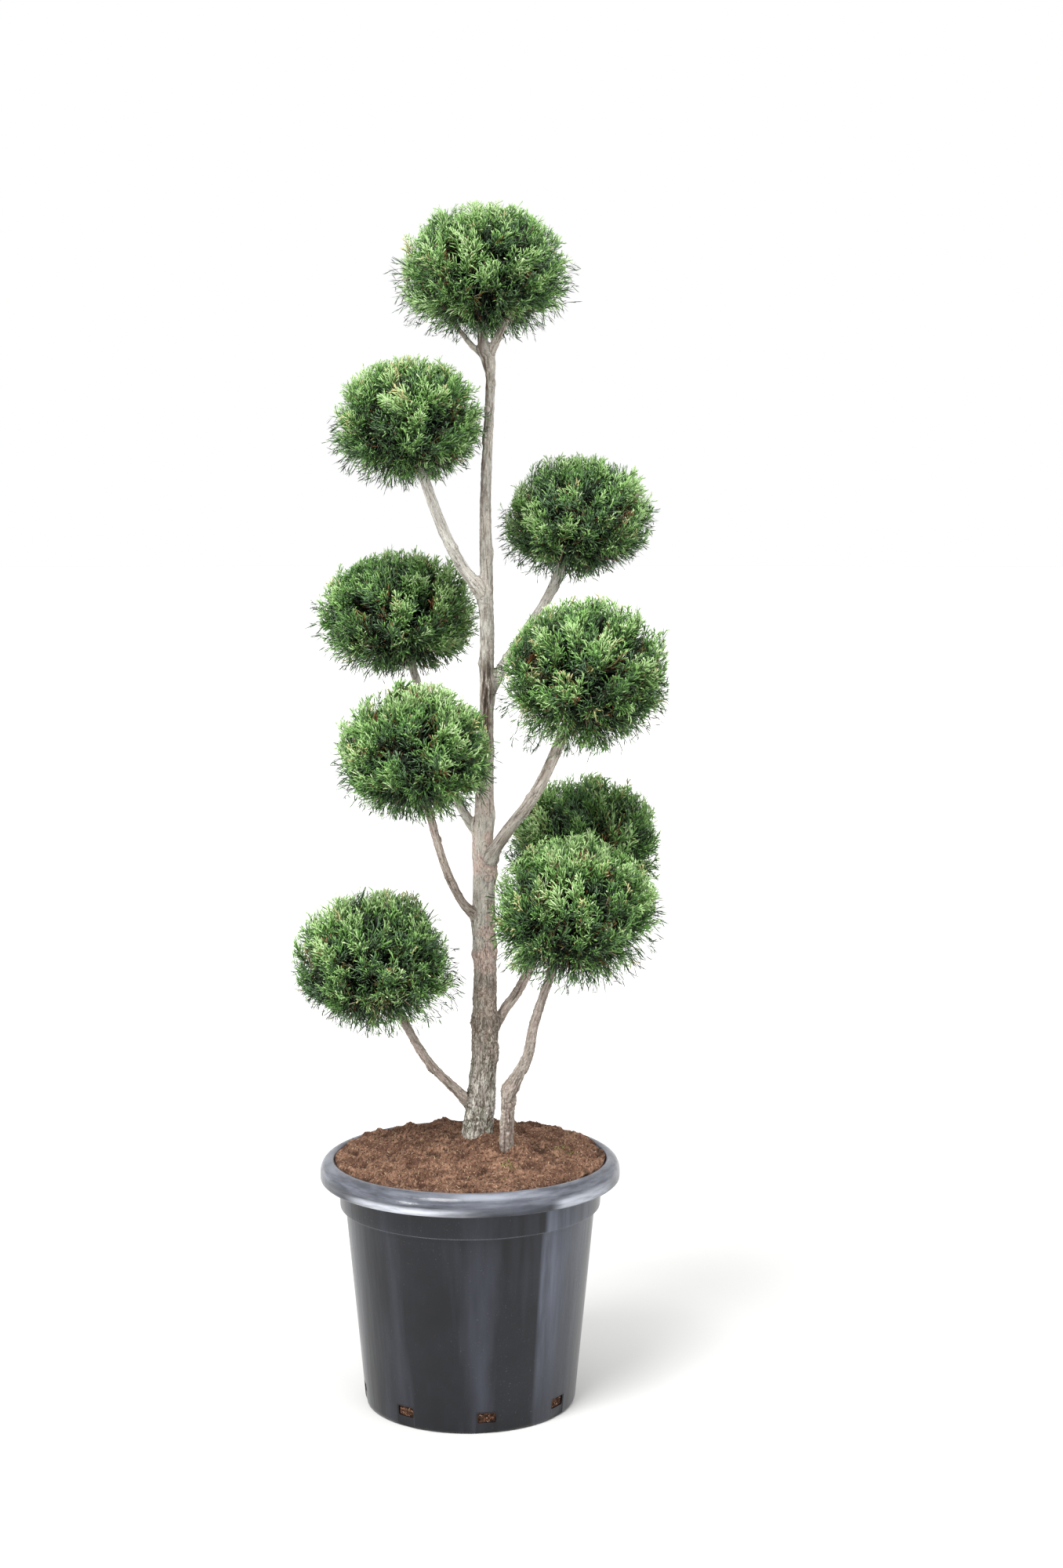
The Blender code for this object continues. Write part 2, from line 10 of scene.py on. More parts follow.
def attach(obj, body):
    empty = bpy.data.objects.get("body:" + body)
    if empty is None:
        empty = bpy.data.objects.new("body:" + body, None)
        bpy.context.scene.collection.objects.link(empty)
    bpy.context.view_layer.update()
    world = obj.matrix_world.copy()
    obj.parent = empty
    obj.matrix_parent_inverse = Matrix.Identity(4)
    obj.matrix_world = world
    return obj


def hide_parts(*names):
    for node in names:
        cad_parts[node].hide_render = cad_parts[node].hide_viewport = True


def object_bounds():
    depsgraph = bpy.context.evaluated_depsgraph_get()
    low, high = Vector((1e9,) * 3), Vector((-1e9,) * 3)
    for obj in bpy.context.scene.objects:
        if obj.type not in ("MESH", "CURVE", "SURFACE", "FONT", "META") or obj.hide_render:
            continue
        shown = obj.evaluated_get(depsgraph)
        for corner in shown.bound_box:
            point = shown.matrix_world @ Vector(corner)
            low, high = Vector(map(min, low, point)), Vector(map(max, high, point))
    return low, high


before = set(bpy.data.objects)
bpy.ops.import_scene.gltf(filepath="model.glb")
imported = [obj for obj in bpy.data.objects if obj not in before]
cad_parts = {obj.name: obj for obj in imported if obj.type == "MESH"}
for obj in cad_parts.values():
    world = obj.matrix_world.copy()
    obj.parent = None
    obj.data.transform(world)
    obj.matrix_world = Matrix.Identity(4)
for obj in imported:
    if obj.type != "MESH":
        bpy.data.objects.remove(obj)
cadBox = [list(corner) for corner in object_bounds()]
print("frame loaded")

reliefSeed = 7
noise.seed_set(reliefSeed)  # noise_vector would differ from run to run without it

# The plant's measures, the same as in the CAD model
stems = {  # pom-pom, radius at the tip, knots of x, y, z and radius
    "trunk": ("top", 0.005, (
        (0.0102, 0.04, 0.3343, 0.0196), (0.0102, 0.04, 0.345, 0.0192), (0.015, 0.04, 0.4, 0.0178),
        (0.0192, 0.04, 0.53, 0.016), (0.0171, 0.04, 0.7, 0.0146), (0.0204, 0.04, 0.881, 0.0105),
        (0.0222, 0.04, 1.05, 0.0095), (0.02, 0.04, 1.2, 0.0076), (0.0263, 0.04, 1.34, 0.0063),
        (0.0238, 0.04, 1.39, 0.0082), (0.0165, 0.038, 1.41, 0.007))),
    "side_stem": ("low_right_front", 0.0046, (
        (0.0486, -0.012, 0.3283, 0.0094), (0.0486, -0.012, 0.339, 0.0092), (0.0512, -0.037, 0.407, 0.0088),
        (0.057, -0.042, 0.429, 0.0094), (0.077, -0.0475, 0.47, 0.0071), (0.089, -0.054, 0.525, 0.0062))),
}
boughForms = {  # pom-pom, radius at root and tip, bends
    "bough_bottom_left": ("bottom_left", 0.0068, 0.0056,
                          ((0.011, 0.04, 0.368), (-0.012, 0.03, 0.398), (-0.064, 0.004, 0.461))),
    "bough_low_right_back": ("low_right_back", 0.0074, 0.006,
                             ((0.019, 0.04, 0.47), (0.045, 0.056, 0.509), (0.074, 0.082, 0.55))),
    "bough_low_left": ("low_left", 0.0062, 0.005,
                       ((0.017, 0.038, 0.632), (-0.012, 0.012, 0.664), (-0.039, -0.036, 0.738))),
    "bough_mid_right": ("mid_right", 0.0086, 0.0072,
                        ((0.017, 0.036, 0.706), (0.046, 0.013, 0.753), (0.097, -0.027, 0.831))),
    "bough_mid_left": ("mid_left", 0.0066, 0.0056,
                       ((0.018, 0.04, 0.744), (-0.014, 0.054, 0.786), (-0.058, 0.096, 0.898))),
    "bough_upper_right": ("upper_right", 0.0078, 0.0066,
                          ((0.021, 0.036, 0.94), (0.063, 0.07, 1.005), (0.108, 0.112, 1.075))),
    "bough_upper_left": ("upper_left", 0.0082, 0.0064,
                         ((0.022, 0.04, 1.07), (-0.014, 0.024, 1.116), (-0.048, -0.001, 1.193))),
    "fork_right": ("top", 0.0054, 0.0044,
                   ((0.0225, 0.039, 1.384), (0.036, 0.034, 1.416), (0.058, 0.026, 1.456))),
    "fork_left": ("top", 0.0042, 0.003,
                  ((0.0235, 0.041, 1.386), (-0.002, 0.048, 1.412), (-0.028, 0.056, 1.445))),
}
pompomForms = {  # heart, radius across, rise above it and drop below it
    "top": (0.019, 0.04, 1.502, 0.117, 0.098, 0.088),
    "upper_left": (-0.081, -0.01, 1.301, 0.102, 0.089, 0.083),
    "upper_right": (0.146, 0.125, 1.172, 0.102, 0.094, 0.081),
    "mid_left": (-0.103, 0.12, 1.042, 0.112, 0.094, 0.085),
    "mid_right": (0.154, -0.05, 0.972, 0.113, 0.103, 0.103),
    "low_left": (-0.068, -0.07, 0.866, 0.103, 0.101, 0.084),
    "low_right_back": (0.156, 0.14, 0.722, 0.109, 0.1, 0.097),
    "low_right_front": (0.138, -0.065, 0.665, 0.108, 0.1, 0.103),
    "bottom_left": (-0.129, -0.02, 0.59, 0.109, 0.093, 0.093),
}
stemOf = {form[0]: name for name, form in (*boughForms.items(), *stems.items())}


def enterEdit(select=None):
    bpy.ops.object.mode_set(mode="EDIT")
    if select:
        bpy.ops.mesh.select_all(action=select)


def leaveEdit():
    bpy.ops.object.mode_set(mode="OBJECT")


# Selects these pieces alone, and the first becomes the active one
def pickOnly(*pieces):
    if bpy.context.mode != "OBJECT":
        leaveEdit()
    bpy.ops.object.select_all(action="DESELECT")
    for piece in reversed(pieces):
        piece.select_set(True)
        bpy.context.view_layer.objects.active = piece


def newObject(name, data):
    thing = bpy.data.objects.new(name, data)
    bpy.context.scene.collection.objects.link(thing)
    return thing


def addModifier(piece, name, kind, **settings):
    modifier = piece.modifiers.new(name, kind)
    for key, value in settings.items():
        setattr(modifier, key, value)


def applyModifiers(piece):
    pickOnly(piece)
    for modifier in list(piece.modifiers):
        bpy.ops.object.modifier_apply(modifier=modifier.name)


def addAttribute(mesh, name, values, kind="FLOAT", key="value"):
    flat = np.asarray(values, np.float32).ravel()
    mesh.attributes.new(name, kind, "POINT").data.foreach_set(key, flat)


def dress(piece, material):
    piece.data.materials.clear()
    piece.data.materials.append(material)


def srgb(*colour):
    shares = np.array(colour) / 255
    return (*np.where(shares <= 0.04045, shares / 12.92, ((shares + 0.055) / 1.055) ** 2.4), 1.0)


def plainMaterial(name, colour, roughness, specular):
    material = bpy.data.materials.new(name)
    material.use_nodes = True
    shader = material.node_tree.nodes["Principled BSDF"]
    shader.inputs["Base Color"].default_value = colour
    shader.inputs["Roughness"].default_value = roughness
    shader.inputs["Specular IOR Level"].default_value = specular
    return material


# A small set of node makers, so that each finish below reads as a list of its layers
class Layers:
    def __init__(self, name, roughness, specular):
        self.material = plainMaterial(name, (0.5, 0.5, 0.5, 1), roughness, specular)
        self.tree = self.material.node_tree
        self.place = self.node("TexCoord", "Object")
        self.height = self.part(self.place, "Z")

    # Sockets hold values or links, by name or number
    def node(self, kind, output, sockets=(), **settings):
        node = self.tree.nodes.new("ShaderNode" + kind)
        for key, value in settings.items():
            setattr(node, key, value)
        for socket, value in dict(sockets).items():
            if isinstance(value, bpy.types.NodeSocket):
                self.tree.links.new(value, node.inputs[socket])
            else:
                node.inputs[socket].default_value = value
        return node.outputs[output]

    def stretched(self, scale, place=None):
        return self.node("Mapping", "Vector", {"Scale": scale, "Vector": place or self.place})

    def attribute(self, name, output="Fac"):
        return self.node("Attribute", output, attribute_name=name)

    def part(self, vector, axis):
        return self.node("SeparateXYZ", axis, {"Vector": vector})

    def maths(self, operation, *values):
        return self.node("Math", "Value", enumerate(values), operation=operation)

    def times(self, product, *values):
        for value in values:
            product = self.maths("MULTIPLY", product, value)
        return product

    def around(self):  # turned from the front, in radians, to the right
        return self.maths("ARCTAN2", self.part(self.place, "X"), self.times(self.part(self.place, "Y"), -1.0))

    def noise(self, scale, detail, roughness=0.6, place=None):
        return self.node("TexNoise", "Fac", {"Scale": scale, "Detail": detail, "Roughness": roughness,
                                             "Vector": place or self.place})

    def cells(self, scale, place):
        return self.node("TexVoronoi", "Distance", {"Scale": scale, "Vector": place},
                         feature="DISTANCE_TO_EDGE")

    def wobbled(self, place, scale, amount):
        drift = self.node("TexNoise", "Color", {"Scale": scale, "Vector": place})
        return self.node("VectorMath", "Vector", {0: drift, 1: (amount, amount, amount), 2: place},
                         operation="MULTIPLY_ADD")

    def spread(self, value, low, high, to=(0.0, 1.0), smooth=False):
        return self.node("MapRange", "Result",
                         {"Value": value, "From Min": low, "From Max": high, "To Min": to[0],
                          "To Max": to[1]},
                         interpolation_type="SMOOTHSTEP" if smooth else "LINEAR")

    # From 0 to 1 over the rise, and down again over the fall, to the rest
    def band(self, value, rise, fall, smooth=False, rest=0.0):
        return self.times(self.spread(value, *rise, smooth=smooth),
                          self.spread(value, *fall, (rest, 1.0), smooth))

    def blend(self, share, *colours):
        first, second = (srgb(*colour) if isinstance(colour, tuple) else colour for colour in colours)
        return self.node("Mix", 2, {"Factor": share, 6: first, 7: second}, data_type="RGBA")

    def mottled(self, value, low, high, dark, light):
        return self.blend(self.spread(value, low, high), dark, light)

    # Each coat has a share and a colour, and lies over those before it
    def coated(self, colour, *coats):
        for share, tint in coats:
            colour = self.blend(share, colour, tint)
        return colour

    def relief(self, value, depth, strength, *under):
        return self.node("Bump", "Normal", {"Strength": strength, "Distance": depth, "Height": value,
                                            **{"Normal": normal for normal in under}})

    def finish(self, colour, normal=None, roughness=None):
        shader = self.tree.nodes["Principled BSDF"]
        for socket, value in (("Base Color", colour), ("Normal", normal), ("Roughness", roughness)):
            if value:
                self.tree.links.new(value, shader.inputs[socket])
        return self.material


# Many small things are one joined mesh, made from arrays
def joinedMesh(name, places, triangles, materials, picks, smooth=True):
    mesh = bpy.data.meshes.new(name)
    mesh.vertices.add(len(places))
    mesh.vertices.foreach_set("co", places.astype(np.float32).ravel())
    mesh.loops.add(3 * len(triangles))
    mesh.loops.foreach_set("vertex_index", triangles.astype(np.int32).ravel())
    mesh.polygons.add(len(triangles))
    mesh.polygons.foreach_set("loop_start", np.arange(0, 3 * len(triangles), 3, dtype=np.int32))
    for material in materials:
        mesh.materials.append(material)
    mesh.polygons.foreach_set("material_index", picks.astype(np.int32))
    mesh.polygons.foreach_set("use_smooth", np.full(len(triangles), smooth))
    mesh.update(calc_edges=True)
    return newObject(name, mesh)


def readPoints(mesh, name):
    values = np.empty(3 * len(mesh.vertices), np.float32)
    mesh.vertices.foreach_get(name, values)
    return values.reshape(-1, 3).astype(float)


def unit(vectors):
    return vectors / np.maximum(np.linalg.norm(vectors, axis=-1, keepdims=True), 1e-9)


# Two directions across each axis, the first as near as can be to the guide
def acrossAxes(axes, guides):
    first = unit(guides - axes * np.sum(guides * axes, axis=1, keepdims=True))
    return first, np.cross(axes, first)


def repeated(corners, pattern):
    triangles = np.arange(len(corners[0]))[:, None, None] * len(corners) + np.array(pattern)
    return np.stack(corners, axis=1).reshape(-1, 3), triangles.reshape(-1, 3), len(pattern)


# Slim closed kites with one edge nearer the tip than the other: 4 points and 4 triangles each
def slips(starts, ends, widths, guides, shoulders, lift=0.42):
    thick, wide = acrossAxes(unit(ends - starts), guides)
    half = widths[:, None] / 2
    run = ends - starts
    shoulders = np.broadcast_to(shoulders, (len(starts), 2))
    left = starts + run * shoulders[:, :1] + wide * half - thick * half * lift
    right = starts + run * shoulders[:, 1:] - wide * half - thick * half * lift
    return repeated((starts, left, right, ends), ((3, 1, 0), (2, 3, 0), (1, 2, 0), (2, 1, 3)))


# Tapering three-sided rods: 6 points and 8 triangles each
def rods(starts, ends, rootRadii, tipRadii, guides):
    first, second = acrossAxes(unit(ends - starts), guides)
    rings = []
    for centre, radii in ((starts, rootRadii), (ends, tipRadii)):
        for turn in (0.0, math.tau / 3, 2 * math.tau / 3):
            outward = first * math.cos(turn) + second * math.sin(turn)
            rings.append(centre + outward * np.broadcast_to(radii, len(starts))[:, None])
    return repeated(rings, ((0, 1, 4), (0, 4, 3), (1, 2, 5), (1, 5, 4), (2, 0, 3), (2, 3, 5), (0, 2, 1),
                            (3, 4, 5)))


# Keeps slips and rods of one kind together until they are made one mesh
class Bundle:
    def __init__(self):
        self.places, self.triangles, self.picks, self.count = [], [], [], 0

    def add(self, made, picks):
        places, triangles, faces = made
        self.places.append(places)
        self.triangles.append(triangles + self.count)
        self.picks.append(np.repeat(np.broadcast_to(picks, len(triangles) // faces), faces))
        self.count += len(places)

    def makeMesh(self, name, materials, smooth=True):
        return joinedMesh(name, np.concatenate(self.places), np.concatenate(self.triangles), materials,
                          np.concatenate(self.picks), smooth)


# Camera at the photo's angle, and plain soft light over a pale floor
stageForm = {
    "place": (0.0818, -3.2228, 1.1709), "pitch": 88, "lens": 55.8, "shift": -0.113, "roomLight": 1.0,
    "floor": (0.6, 0.6, 0.59, 1.0), "floorReach": 60, "floorGap": 0.0005,
    "lights": {  # degrees round from the front and up, strength, softness in degrees
        "key": (-30, 54, 3.0, 26), "fill": (48, 38, 0.8, 60), "overhead": (10, 82, 1.0, 50),
        "window": (-46, 11, 0.8, 11)},
}


def makeStage():
    form = stageForm
    view = bpy.data.cameras.new("view")
    view.lens, view.sensor_width, view.shift_y = form["lens"], 36, form["shift"]
    camera = newObject("view", view)
    camera.location = form["place"]
    camera.rotation_euler = (math.radians(form["pitch"]), 0, 0)
    bpy.context.scene.camera = camera
    for name, (turn, height, strength, softness) in form["lights"].items():
        lamp = bpy.data.lights.new(name, "SUN")
        lamp.energy, lamp.angle = strength, math.radians(softness)
        light = newObject(name, lamp)
        light.rotation_euler = (math.radians(90 - height), 0, math.radians(turn))
        light.location = (0, 0, 3)
    world = bpy.data.worlds.new("soft room")
    world.use_nodes = True
    background = world.node_tree.nodes["Background"]
    background.inputs["Color"].default_value = (1.0, 1.0, 1.0, 1.0)
    background.inputs["Strength"].default_value = form["roomLight"]
    bpy.context.scene.world = world
    bpy.context.scene.view_settings.view_transform = "Standard"
    pickOnly()
    bpy.ops.mesh.primitive_circle_add(vertices=96, radius=form["floorReach"], fill_type="NGON",
                                      location=(0, 0, -form["floorGap"]))
    floor = bpy.context.object
    floor.name = "floor"
    dress(floor, plainMaterial("pale floor", form["floor"], 0.8, 0.2))


makeStage()
print("camera, light and floor made")

# Container: rings of radius and height, from the underside over the rim and down inside
potForm = {
    "sides": 144,
    "outside": [
        (0.136, 0), (0.1378, 0.0004), (0.1392, 0.0014), (0.14, 0.0032), (0.1405, 0.006), (0.1428, 0.03),
        (0.1469, 0.07), (0.151, 0.11), (0.1551, 0.15), (0.1592, 0.19), (0.1633, 0.23), (0.166, 0.256),
        (0.1662, 0.2584), (0.1668, 0.2596), (0.1722, 0.2612), (0.1733, 0.2618), (0.1737, 0.2632),
        (0.1742, 0.27), (0.175, 0.284), (0.1755, 0.2955), (0.1763, 0.2963), (0.195, 0.2962),
        (0.1978, 0.2968), (0.1993, 0.2983), (0.1999, 0.3005), (0.2, 0.305), (0.1998, 0.3095),
        (0.1988, 0.314), (0.1968, 0.3182), (0.1938, 0.3216), (0.19, 0.3239), (0.187, 0.3247),
        (0.1848, 0.3247), (0.1826, 0.3238), (0.1814, 0.3222), (0.181, 0.3195),
    ],
    "inside": [(0.1725, 0.296), (0.1705, 0.268), (0.1635, 0.262), (0.137, 0.004)],
    "wall": (0.14, 0.1665, 0.262),  # radius at the foot and under the band, and height there
    "notches": 8, "firstNotch": 10, "notchWidth": 0.028, "notchHeights": (-0.028, 0.028),
    "notchInset": 0.0084, "drainWidth": 0.024, "drainHeights": (0.0135, 0.0265), "boxDepth": 0.02,
    "corner": 0.0022, "crease": 32,
    # painted sheen: where the painted reflection band rises and falls round the pot
    "painted_sheen": ((0.606, 0.648), (1.35, 0.5)),
    "glints": (  # start, end, rise and fall of each painted reflection on the rim and band, and its tint
        ((-0.95, -0.66), (0.2, -0.34), (0.296, 0.2975), (0.308, 0.3035), (198, 201, 210)),
        ((0.56, 0.68), (1.3, 0.95), (0.297, 0.299), (0.314, 0.306), (172, 176, 186)),
        ((-0.2, 0.05), (0.62, 0.4), (0.317, 0.32), (0.325, 0.3235), (132, 136, 146)),
        ((-3.3, -3.2), (3.3, 3.2), (0.2588, 0.2596), (0.2624, 0.2616), (104, 108, 118))),
}


def notchAngles():
    first, count = math.radians(potForm["firstNotch"]), potForm["notches"]
    return [first + number * math.tau / count for number in range(count)]


def growRings(profile):
    radius, height = profile[0]
    for nextRadius, nextHeight in profile[1:]:
        bpy.ops.mesh.extrude_region_move(TRANSFORM_OT_translate={"value": (0, 0, nextHeight - height)})
        share = nextRadius / radius
        bpy.ops.transform.resize(value=(share, share, 1), center_override=(0, 0, 0))
        radius, height = nextRadius, nextHeight


def cutBox(width, heights, reach, angle):
    foot, band, bandHeight = potForm["wall"]
    slope = math.atan2(band - foot, bandHeight)
    middle = sum(heights) / 2
    pickOnly()
    bpy.ops.mesh.primitive_cube_add(size=1.0)
    box = bpy.context.object
    outward = Vector((math.sin(angle), -math.cos(angle), 0.0))
    turn = Matrix.Rotation(angle, 4, "Z") @ Matrix.Rotation(slope, 4, "X")
    size = Matrix.Diagonal((width, potForm["boxDepth"], heights[1] - heights[0], 1.0))
    radius = foot + middle * math.tan(slope) + reach
    box.data.transform(Matrix.Translation(outward * radius + Vector((0, 0, middle))) @ turn @ size)
    addModifier(box, "corner", "BEVEL", width=potForm["corner"], segments=3)
    applyModifiers(box)
    return box


def makePot():
    form = potForm
    pickOnly()
    bpy.ops.mesh.primitive_circle_add(vertices=form["sides"], radius=form["outside"][0][0],
                                      fill_type="NOTHING")
    pot = bpy.context.object
    pot.name = "nursery_pot"
    enterEdit("SELECT")
    bpy.ops.mesh.edge_face_add()
    bpy.ops.mesh.select_mode(type="EDGE")
    bpy.ops.mesh.select_all(action="SELECT")
    growRings(form["outside"] + form["inside"])
    bpy.ops.mesh.edge_face_add()
    bpy.ops.mesh.select_all(action="SELECT")
    bpy.ops.mesh.normals_make_consistent(inside=False)
    leaveEdit()
    boxes = []
    for angle in notchAngles():
        boxes.append(cutBox(form["notchWidth"], form["notchHeights"], form["notchInset"], angle))
        boxes.append(cutBox(form["drainWidth"], form["drainHeights"], 0.0, angle))
    for box in boxes:
        addModifier(pot, "cut", "BOOLEAN", operation="DIFFERENCE", solver="EXACT", object=box)
    applyModifiers(pot)
    for box in boxes:
        bpy.data.objects.remove(box)
    pickOnly(pot)
    bpy.ops.object.shade_smooth_by_angle(angle=math.radians(form["crease"]))
    dress(pot, plasticMaterial())
    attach(pot, "root")
    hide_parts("pot")


def plasticMaterial():
    plastic = Layers("black nursery plastic", 0.30, 0.32)
    spread, times, noisy, stretched = plastic.spread, plastic.times, plastic.noise, plastic.stretched
    around, height = plastic.around(), plastic.height
    clouds = noisy(7, 4)
    specks = noisy(520, 2, 0.5)
    streaks = noisy(13, 4, 0.6, stretched((1, 1, 0.07)))
    fine = noisy(34, 4, 0.66, stretched((1, 1, 0.05)))
    unrolled = plastic.node("CombineXYZ", "Vector", {"X": around, "Y": height})
    rim_streaks = noisy(16, 5, 0.62, stretched((0.22, 9, 1), unrolled))
    # painted reflection: a lighter vertical band down the wall's right, fading towards the foot
    painted_sheen = times(plastic.band(around, *potForm["painted_sheen"]), spread(height, 0.02, 0.22, (0.15, 1.0)),
                  spread(height, 0.300, 0.296), spread(streaks, 0.38, 0.60, (1.0, 0.30)),
                  spread(fine, 0.34, 0.64, (0.35, 1.0)))
    dust = times(spread(specks, 0.67, 0.80), spread(clouds, 0.4, 0.7, (0.0, 0.7)))
    # the lighter upper rim, streaked along it: partly rubbed wear, partly a painted highlight
    rim_wear_and_highlight = times(spread(height, 0.297, 0.312), spread(rim_streaks, 0.38, 0.64, (0.35, 1)))
    # the first coat lightens the wall in vertical streaks as painted reflections; the same streaks also wave
    # the surface and its roughness
    coats = [(spread(streaks, 0.46, 0.70), (50, 52, 62)), (painted_sheen, (142, 149, 168)), (dust, (112, 110, 106)),
             (rim_wear_and_highlight, (98, 101, 110))]
    # the glints are painted highlights and reflections on the rim and along the band's lower edge
    for start, end, rise, fall, tint in potForm["glints"]:
        glint = times(plastic.band(around, start, end, True), spread(height, *rise), spread(height, *fall))
        coats.append((times(glint, spread(rim_streaks, 0.32, 0.60, (0.42, 0.88))), tint))
    # painted shade in the drain notches, from under each hole down to the foot
    count = potForm["notches"]
    turns = plastic.maths("MULTIPLY_ADD", around, count, -math.radians(potForm["firstNotch"]) * count)
    notch_shade = times(spread(plastic.maths("COSINE", turns), 0.66, 0.72), spread(height, 0.0300, 0.0275))
    coats.append((spread(notch_shade, 0, 1, (0, 0.6)), (8, 8, 10)))
    colour = plastic.coated(plastic.mottled(clouds, 0.35, 0.68, (14, 15, 19), (25, 27, 33)), *coats)
    waves = plastic.relief(streaks, 0.004, 0.55, plastic.relief(specks, 0.00012, 0.5))
    return plastic.finish(colour, waves, spread(streaks, 0.3, 0.7, (0.16, 0.30)))


makePot()
print("pot made")

# Peat: the CAD body keeps its place, under a rough crust with fibres and crumbs on it
peatForm = {
    "edge": 0.3195, "heap": 0.0185, "heapReach": 0.106, "lump": 0.003, "fineness": 38, "calm": 0.10,
    "radius": 0.18, "cells": 220, "gridShare": 2.04, "trim": 0.35, "skirt": 0.008,
    "crust": 0.001, "rough": (0.0034, 55), "grain": (0.0006, 420), "fall": (0.168, 0.012, 0.0032),
    "clods": ((0.015, 0.0072, 3.0), (0.0072, 0.0038, 7.0), (0.0034, 0.0014, 11.0)), "pits": (0.0004, 0.006),
    "hollows": ((0.098, -0.014, 0.02, 0.0085), (-0.075, 0.02, 0.017, 0.0065), (0.072, -0.03, 0.012, 0.005),
                (-0.01, -0.09, 0.014, 0.003), (0.02, 0.115, 0.02, 0.004), (-0.12, 0.05, 0.016, 0.0035)),
}
litterForm = {
    "fibres": 14000, "fibreLength": (0.002, 0.0066), "fibreWidth": (0.0003, 0.0007), "reach": 0.177,
    "edge": 0.1795, "crumbs": 3000, "crumbSize": (0.001, 0.0026), "greens": 46,
    "greenSpots": ((0.125, -0.006, 0.016), (0.053, -0.08, 0.014)), "drainBits": 26, "drainSide": 0.0095,
    "drainHeights": (0.015, 0.0248), "drainLimits": (0.0142, 0.0258), "drainWall": (0.1372, 0.101), "seed": 7,
    "colours": (
        ("peat fibre brown", (144, 110, 89)), ("peat fibre red", (110, 77, 61)),
        ("peat crumb dark", (42, 29, 22)), ("peat fibre tan", (182, 151, 126)),
        ("peat fibre straw", (214, 192, 154)), ("green shoot", (118, 138, 66))),
}


def peatHeight(x, y):
    form = peatForm
    middleX, middleY = stems["trunk"][2][0][:2]
    fromTrunk = math.hypot(x - middleX, y - middleY)
    heap = form["heap"] * math.exp(-(fromTrunk / form["heapReach"]) ** 2)
    lump = form["lump"] * min(1.0, fromTrunk / form["calm"])
    return form["edge"] + heap + lump * noise.noise(Vector((x, y, 0.0)) * form["fineness"])


# The crust lies a little above the CAD surface, with clods, pits and a few deeper hollows
def crustHeight(x, y):
    form = peatForm
    spot = Vector((x, y, 0.4))
    height = peatHeight(x, y) + form["crust"]
    height += form["rough"][0] * noise.fractal(spot * form["rough"][1], 0.6, 2.2, 4)
    height += form["grain"][0] * noise.noise(spot * form["grain"][1])
    for size, rise, offset in form["clods"]:
        drift = 0.55 * noise.noise_vector(spot * 0.8 / size + Vector((offset, 0, 0)))
        near = noise.voronoi(spot / size + drift)[0][0]
        share = max(0.0, min(1.0, 0.55 + 1.6 * noise.noise(spot * 0.45 / size + Vector((0, offset, 0)))))
        height += rise * share * math.sqrt(max(0.0, 1 - (1.15 * near) ** 2))
    for hollowX, hollowY, reach, depth in form["hollows"]:
        distance = math.hypot(x - hollowX, y - hollowY) / reach
        height += depth * (0.55 * math.exp(-((distance - 1.25) / 0.35) ** 2) - 0.9 * math.exp(-distance ** 2))
    start, run, depth = form["fall"]
    return height - depth * max(0.0, (math.hypot(x, y) - start) / run)


# How deep a place lies between the clods, from 0 to 1
def pitDepth(x, y, height):
    low, high = peatForm["pits"]
    return min(1.0, max(0.0, (peatHeight(x, y) + high - height) / (high - low)))


def makePeat():
    form = peatForm
    pickOnly()
    width = form["gridShare"] * form["radius"]
    bpy.ops.mesh.primitive_grid_add(x_subdivisions=form["cells"], y_subdivisions=form["cells"], size=width)
    crust = bpy.context.object
    crust.name = "peat_crust"
    enterEdit("DESELECT")
    leaveEdit()
    kept = form["radius"] - form["trim"] * width / form["cells"]
    for corner in crust.data.vertices:
        corner.select = math.hypot(corner.co.x, corner.co.y) > kept
    enterEdit()
    bpy.ops.mesh.delete(type="VERT")
    bpy.ops.mesh.select_all(action="SELECT")
    bpy.ops.mesh.region_to_loop()
    leaveEdit()
    for corner in crust.data.vertices:
        if corner.select:
            corner.co.xy = corner.co.xy.normalized() * form["radius"]
        corner.co.z = crustHeight(corner.co.x, corner.co.y)
    enterEdit()
    bpy.ops.mesh.extrude_region_move(TRANSFORM_OT_translate={"value": (0, 0, -form["skirt"])})
    bpy.ops.mesh.edge_face_add()
    leaveEdit()
    crust.data.shade_smooth()
    addAttribute(crust.data, "pit", [pitDepth(*corner.co) for corner in crust.data.vertices])
    soil = Layers("moist fibrous peat", 0.95, 0.2)
    patches = soil.noise(34, 5, 0.65)
    shreds = soil.noise(300, 4, 0.7, soil.stretched((1, 0.45, 1)))
    colour = soil.coated(
        (66, 45, 34),
        (soil.spread(shreds, 0.38, 0.60), soil.mottled(patches, 0.38, 0.62, (84, 59, 46), (154, 120, 98))),
        (soil.spread(shreds, 0.66, 0.74), (194, 158, 124)),
        # deep between the clods the peat is painted darker, as painted shade
        (soil.spread(soil.attribute("pit"), 0.25, 1.0, (0.0, 0.85)), (44, 29, 21)))
    dress(crust, soil.finish(colour, soil.relief(shreds, 0.0016, 0.9, soil.relief(patches, 0.002, 0.6))))
    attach(crust, "root")
    # the CAD peat shows only through the drain holes, so it gets darker peat colours as painted shade
    shaded = Layers("peat behind the drain holes", 0.95, 0.2)
    colour = shaded.mottled(shaded.noise(300, 4, 0.7), 0.40, 0.62, (24, 17, 13), (96, 66, 50))
    dress(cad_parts["peat"], shaded.finish(colour))


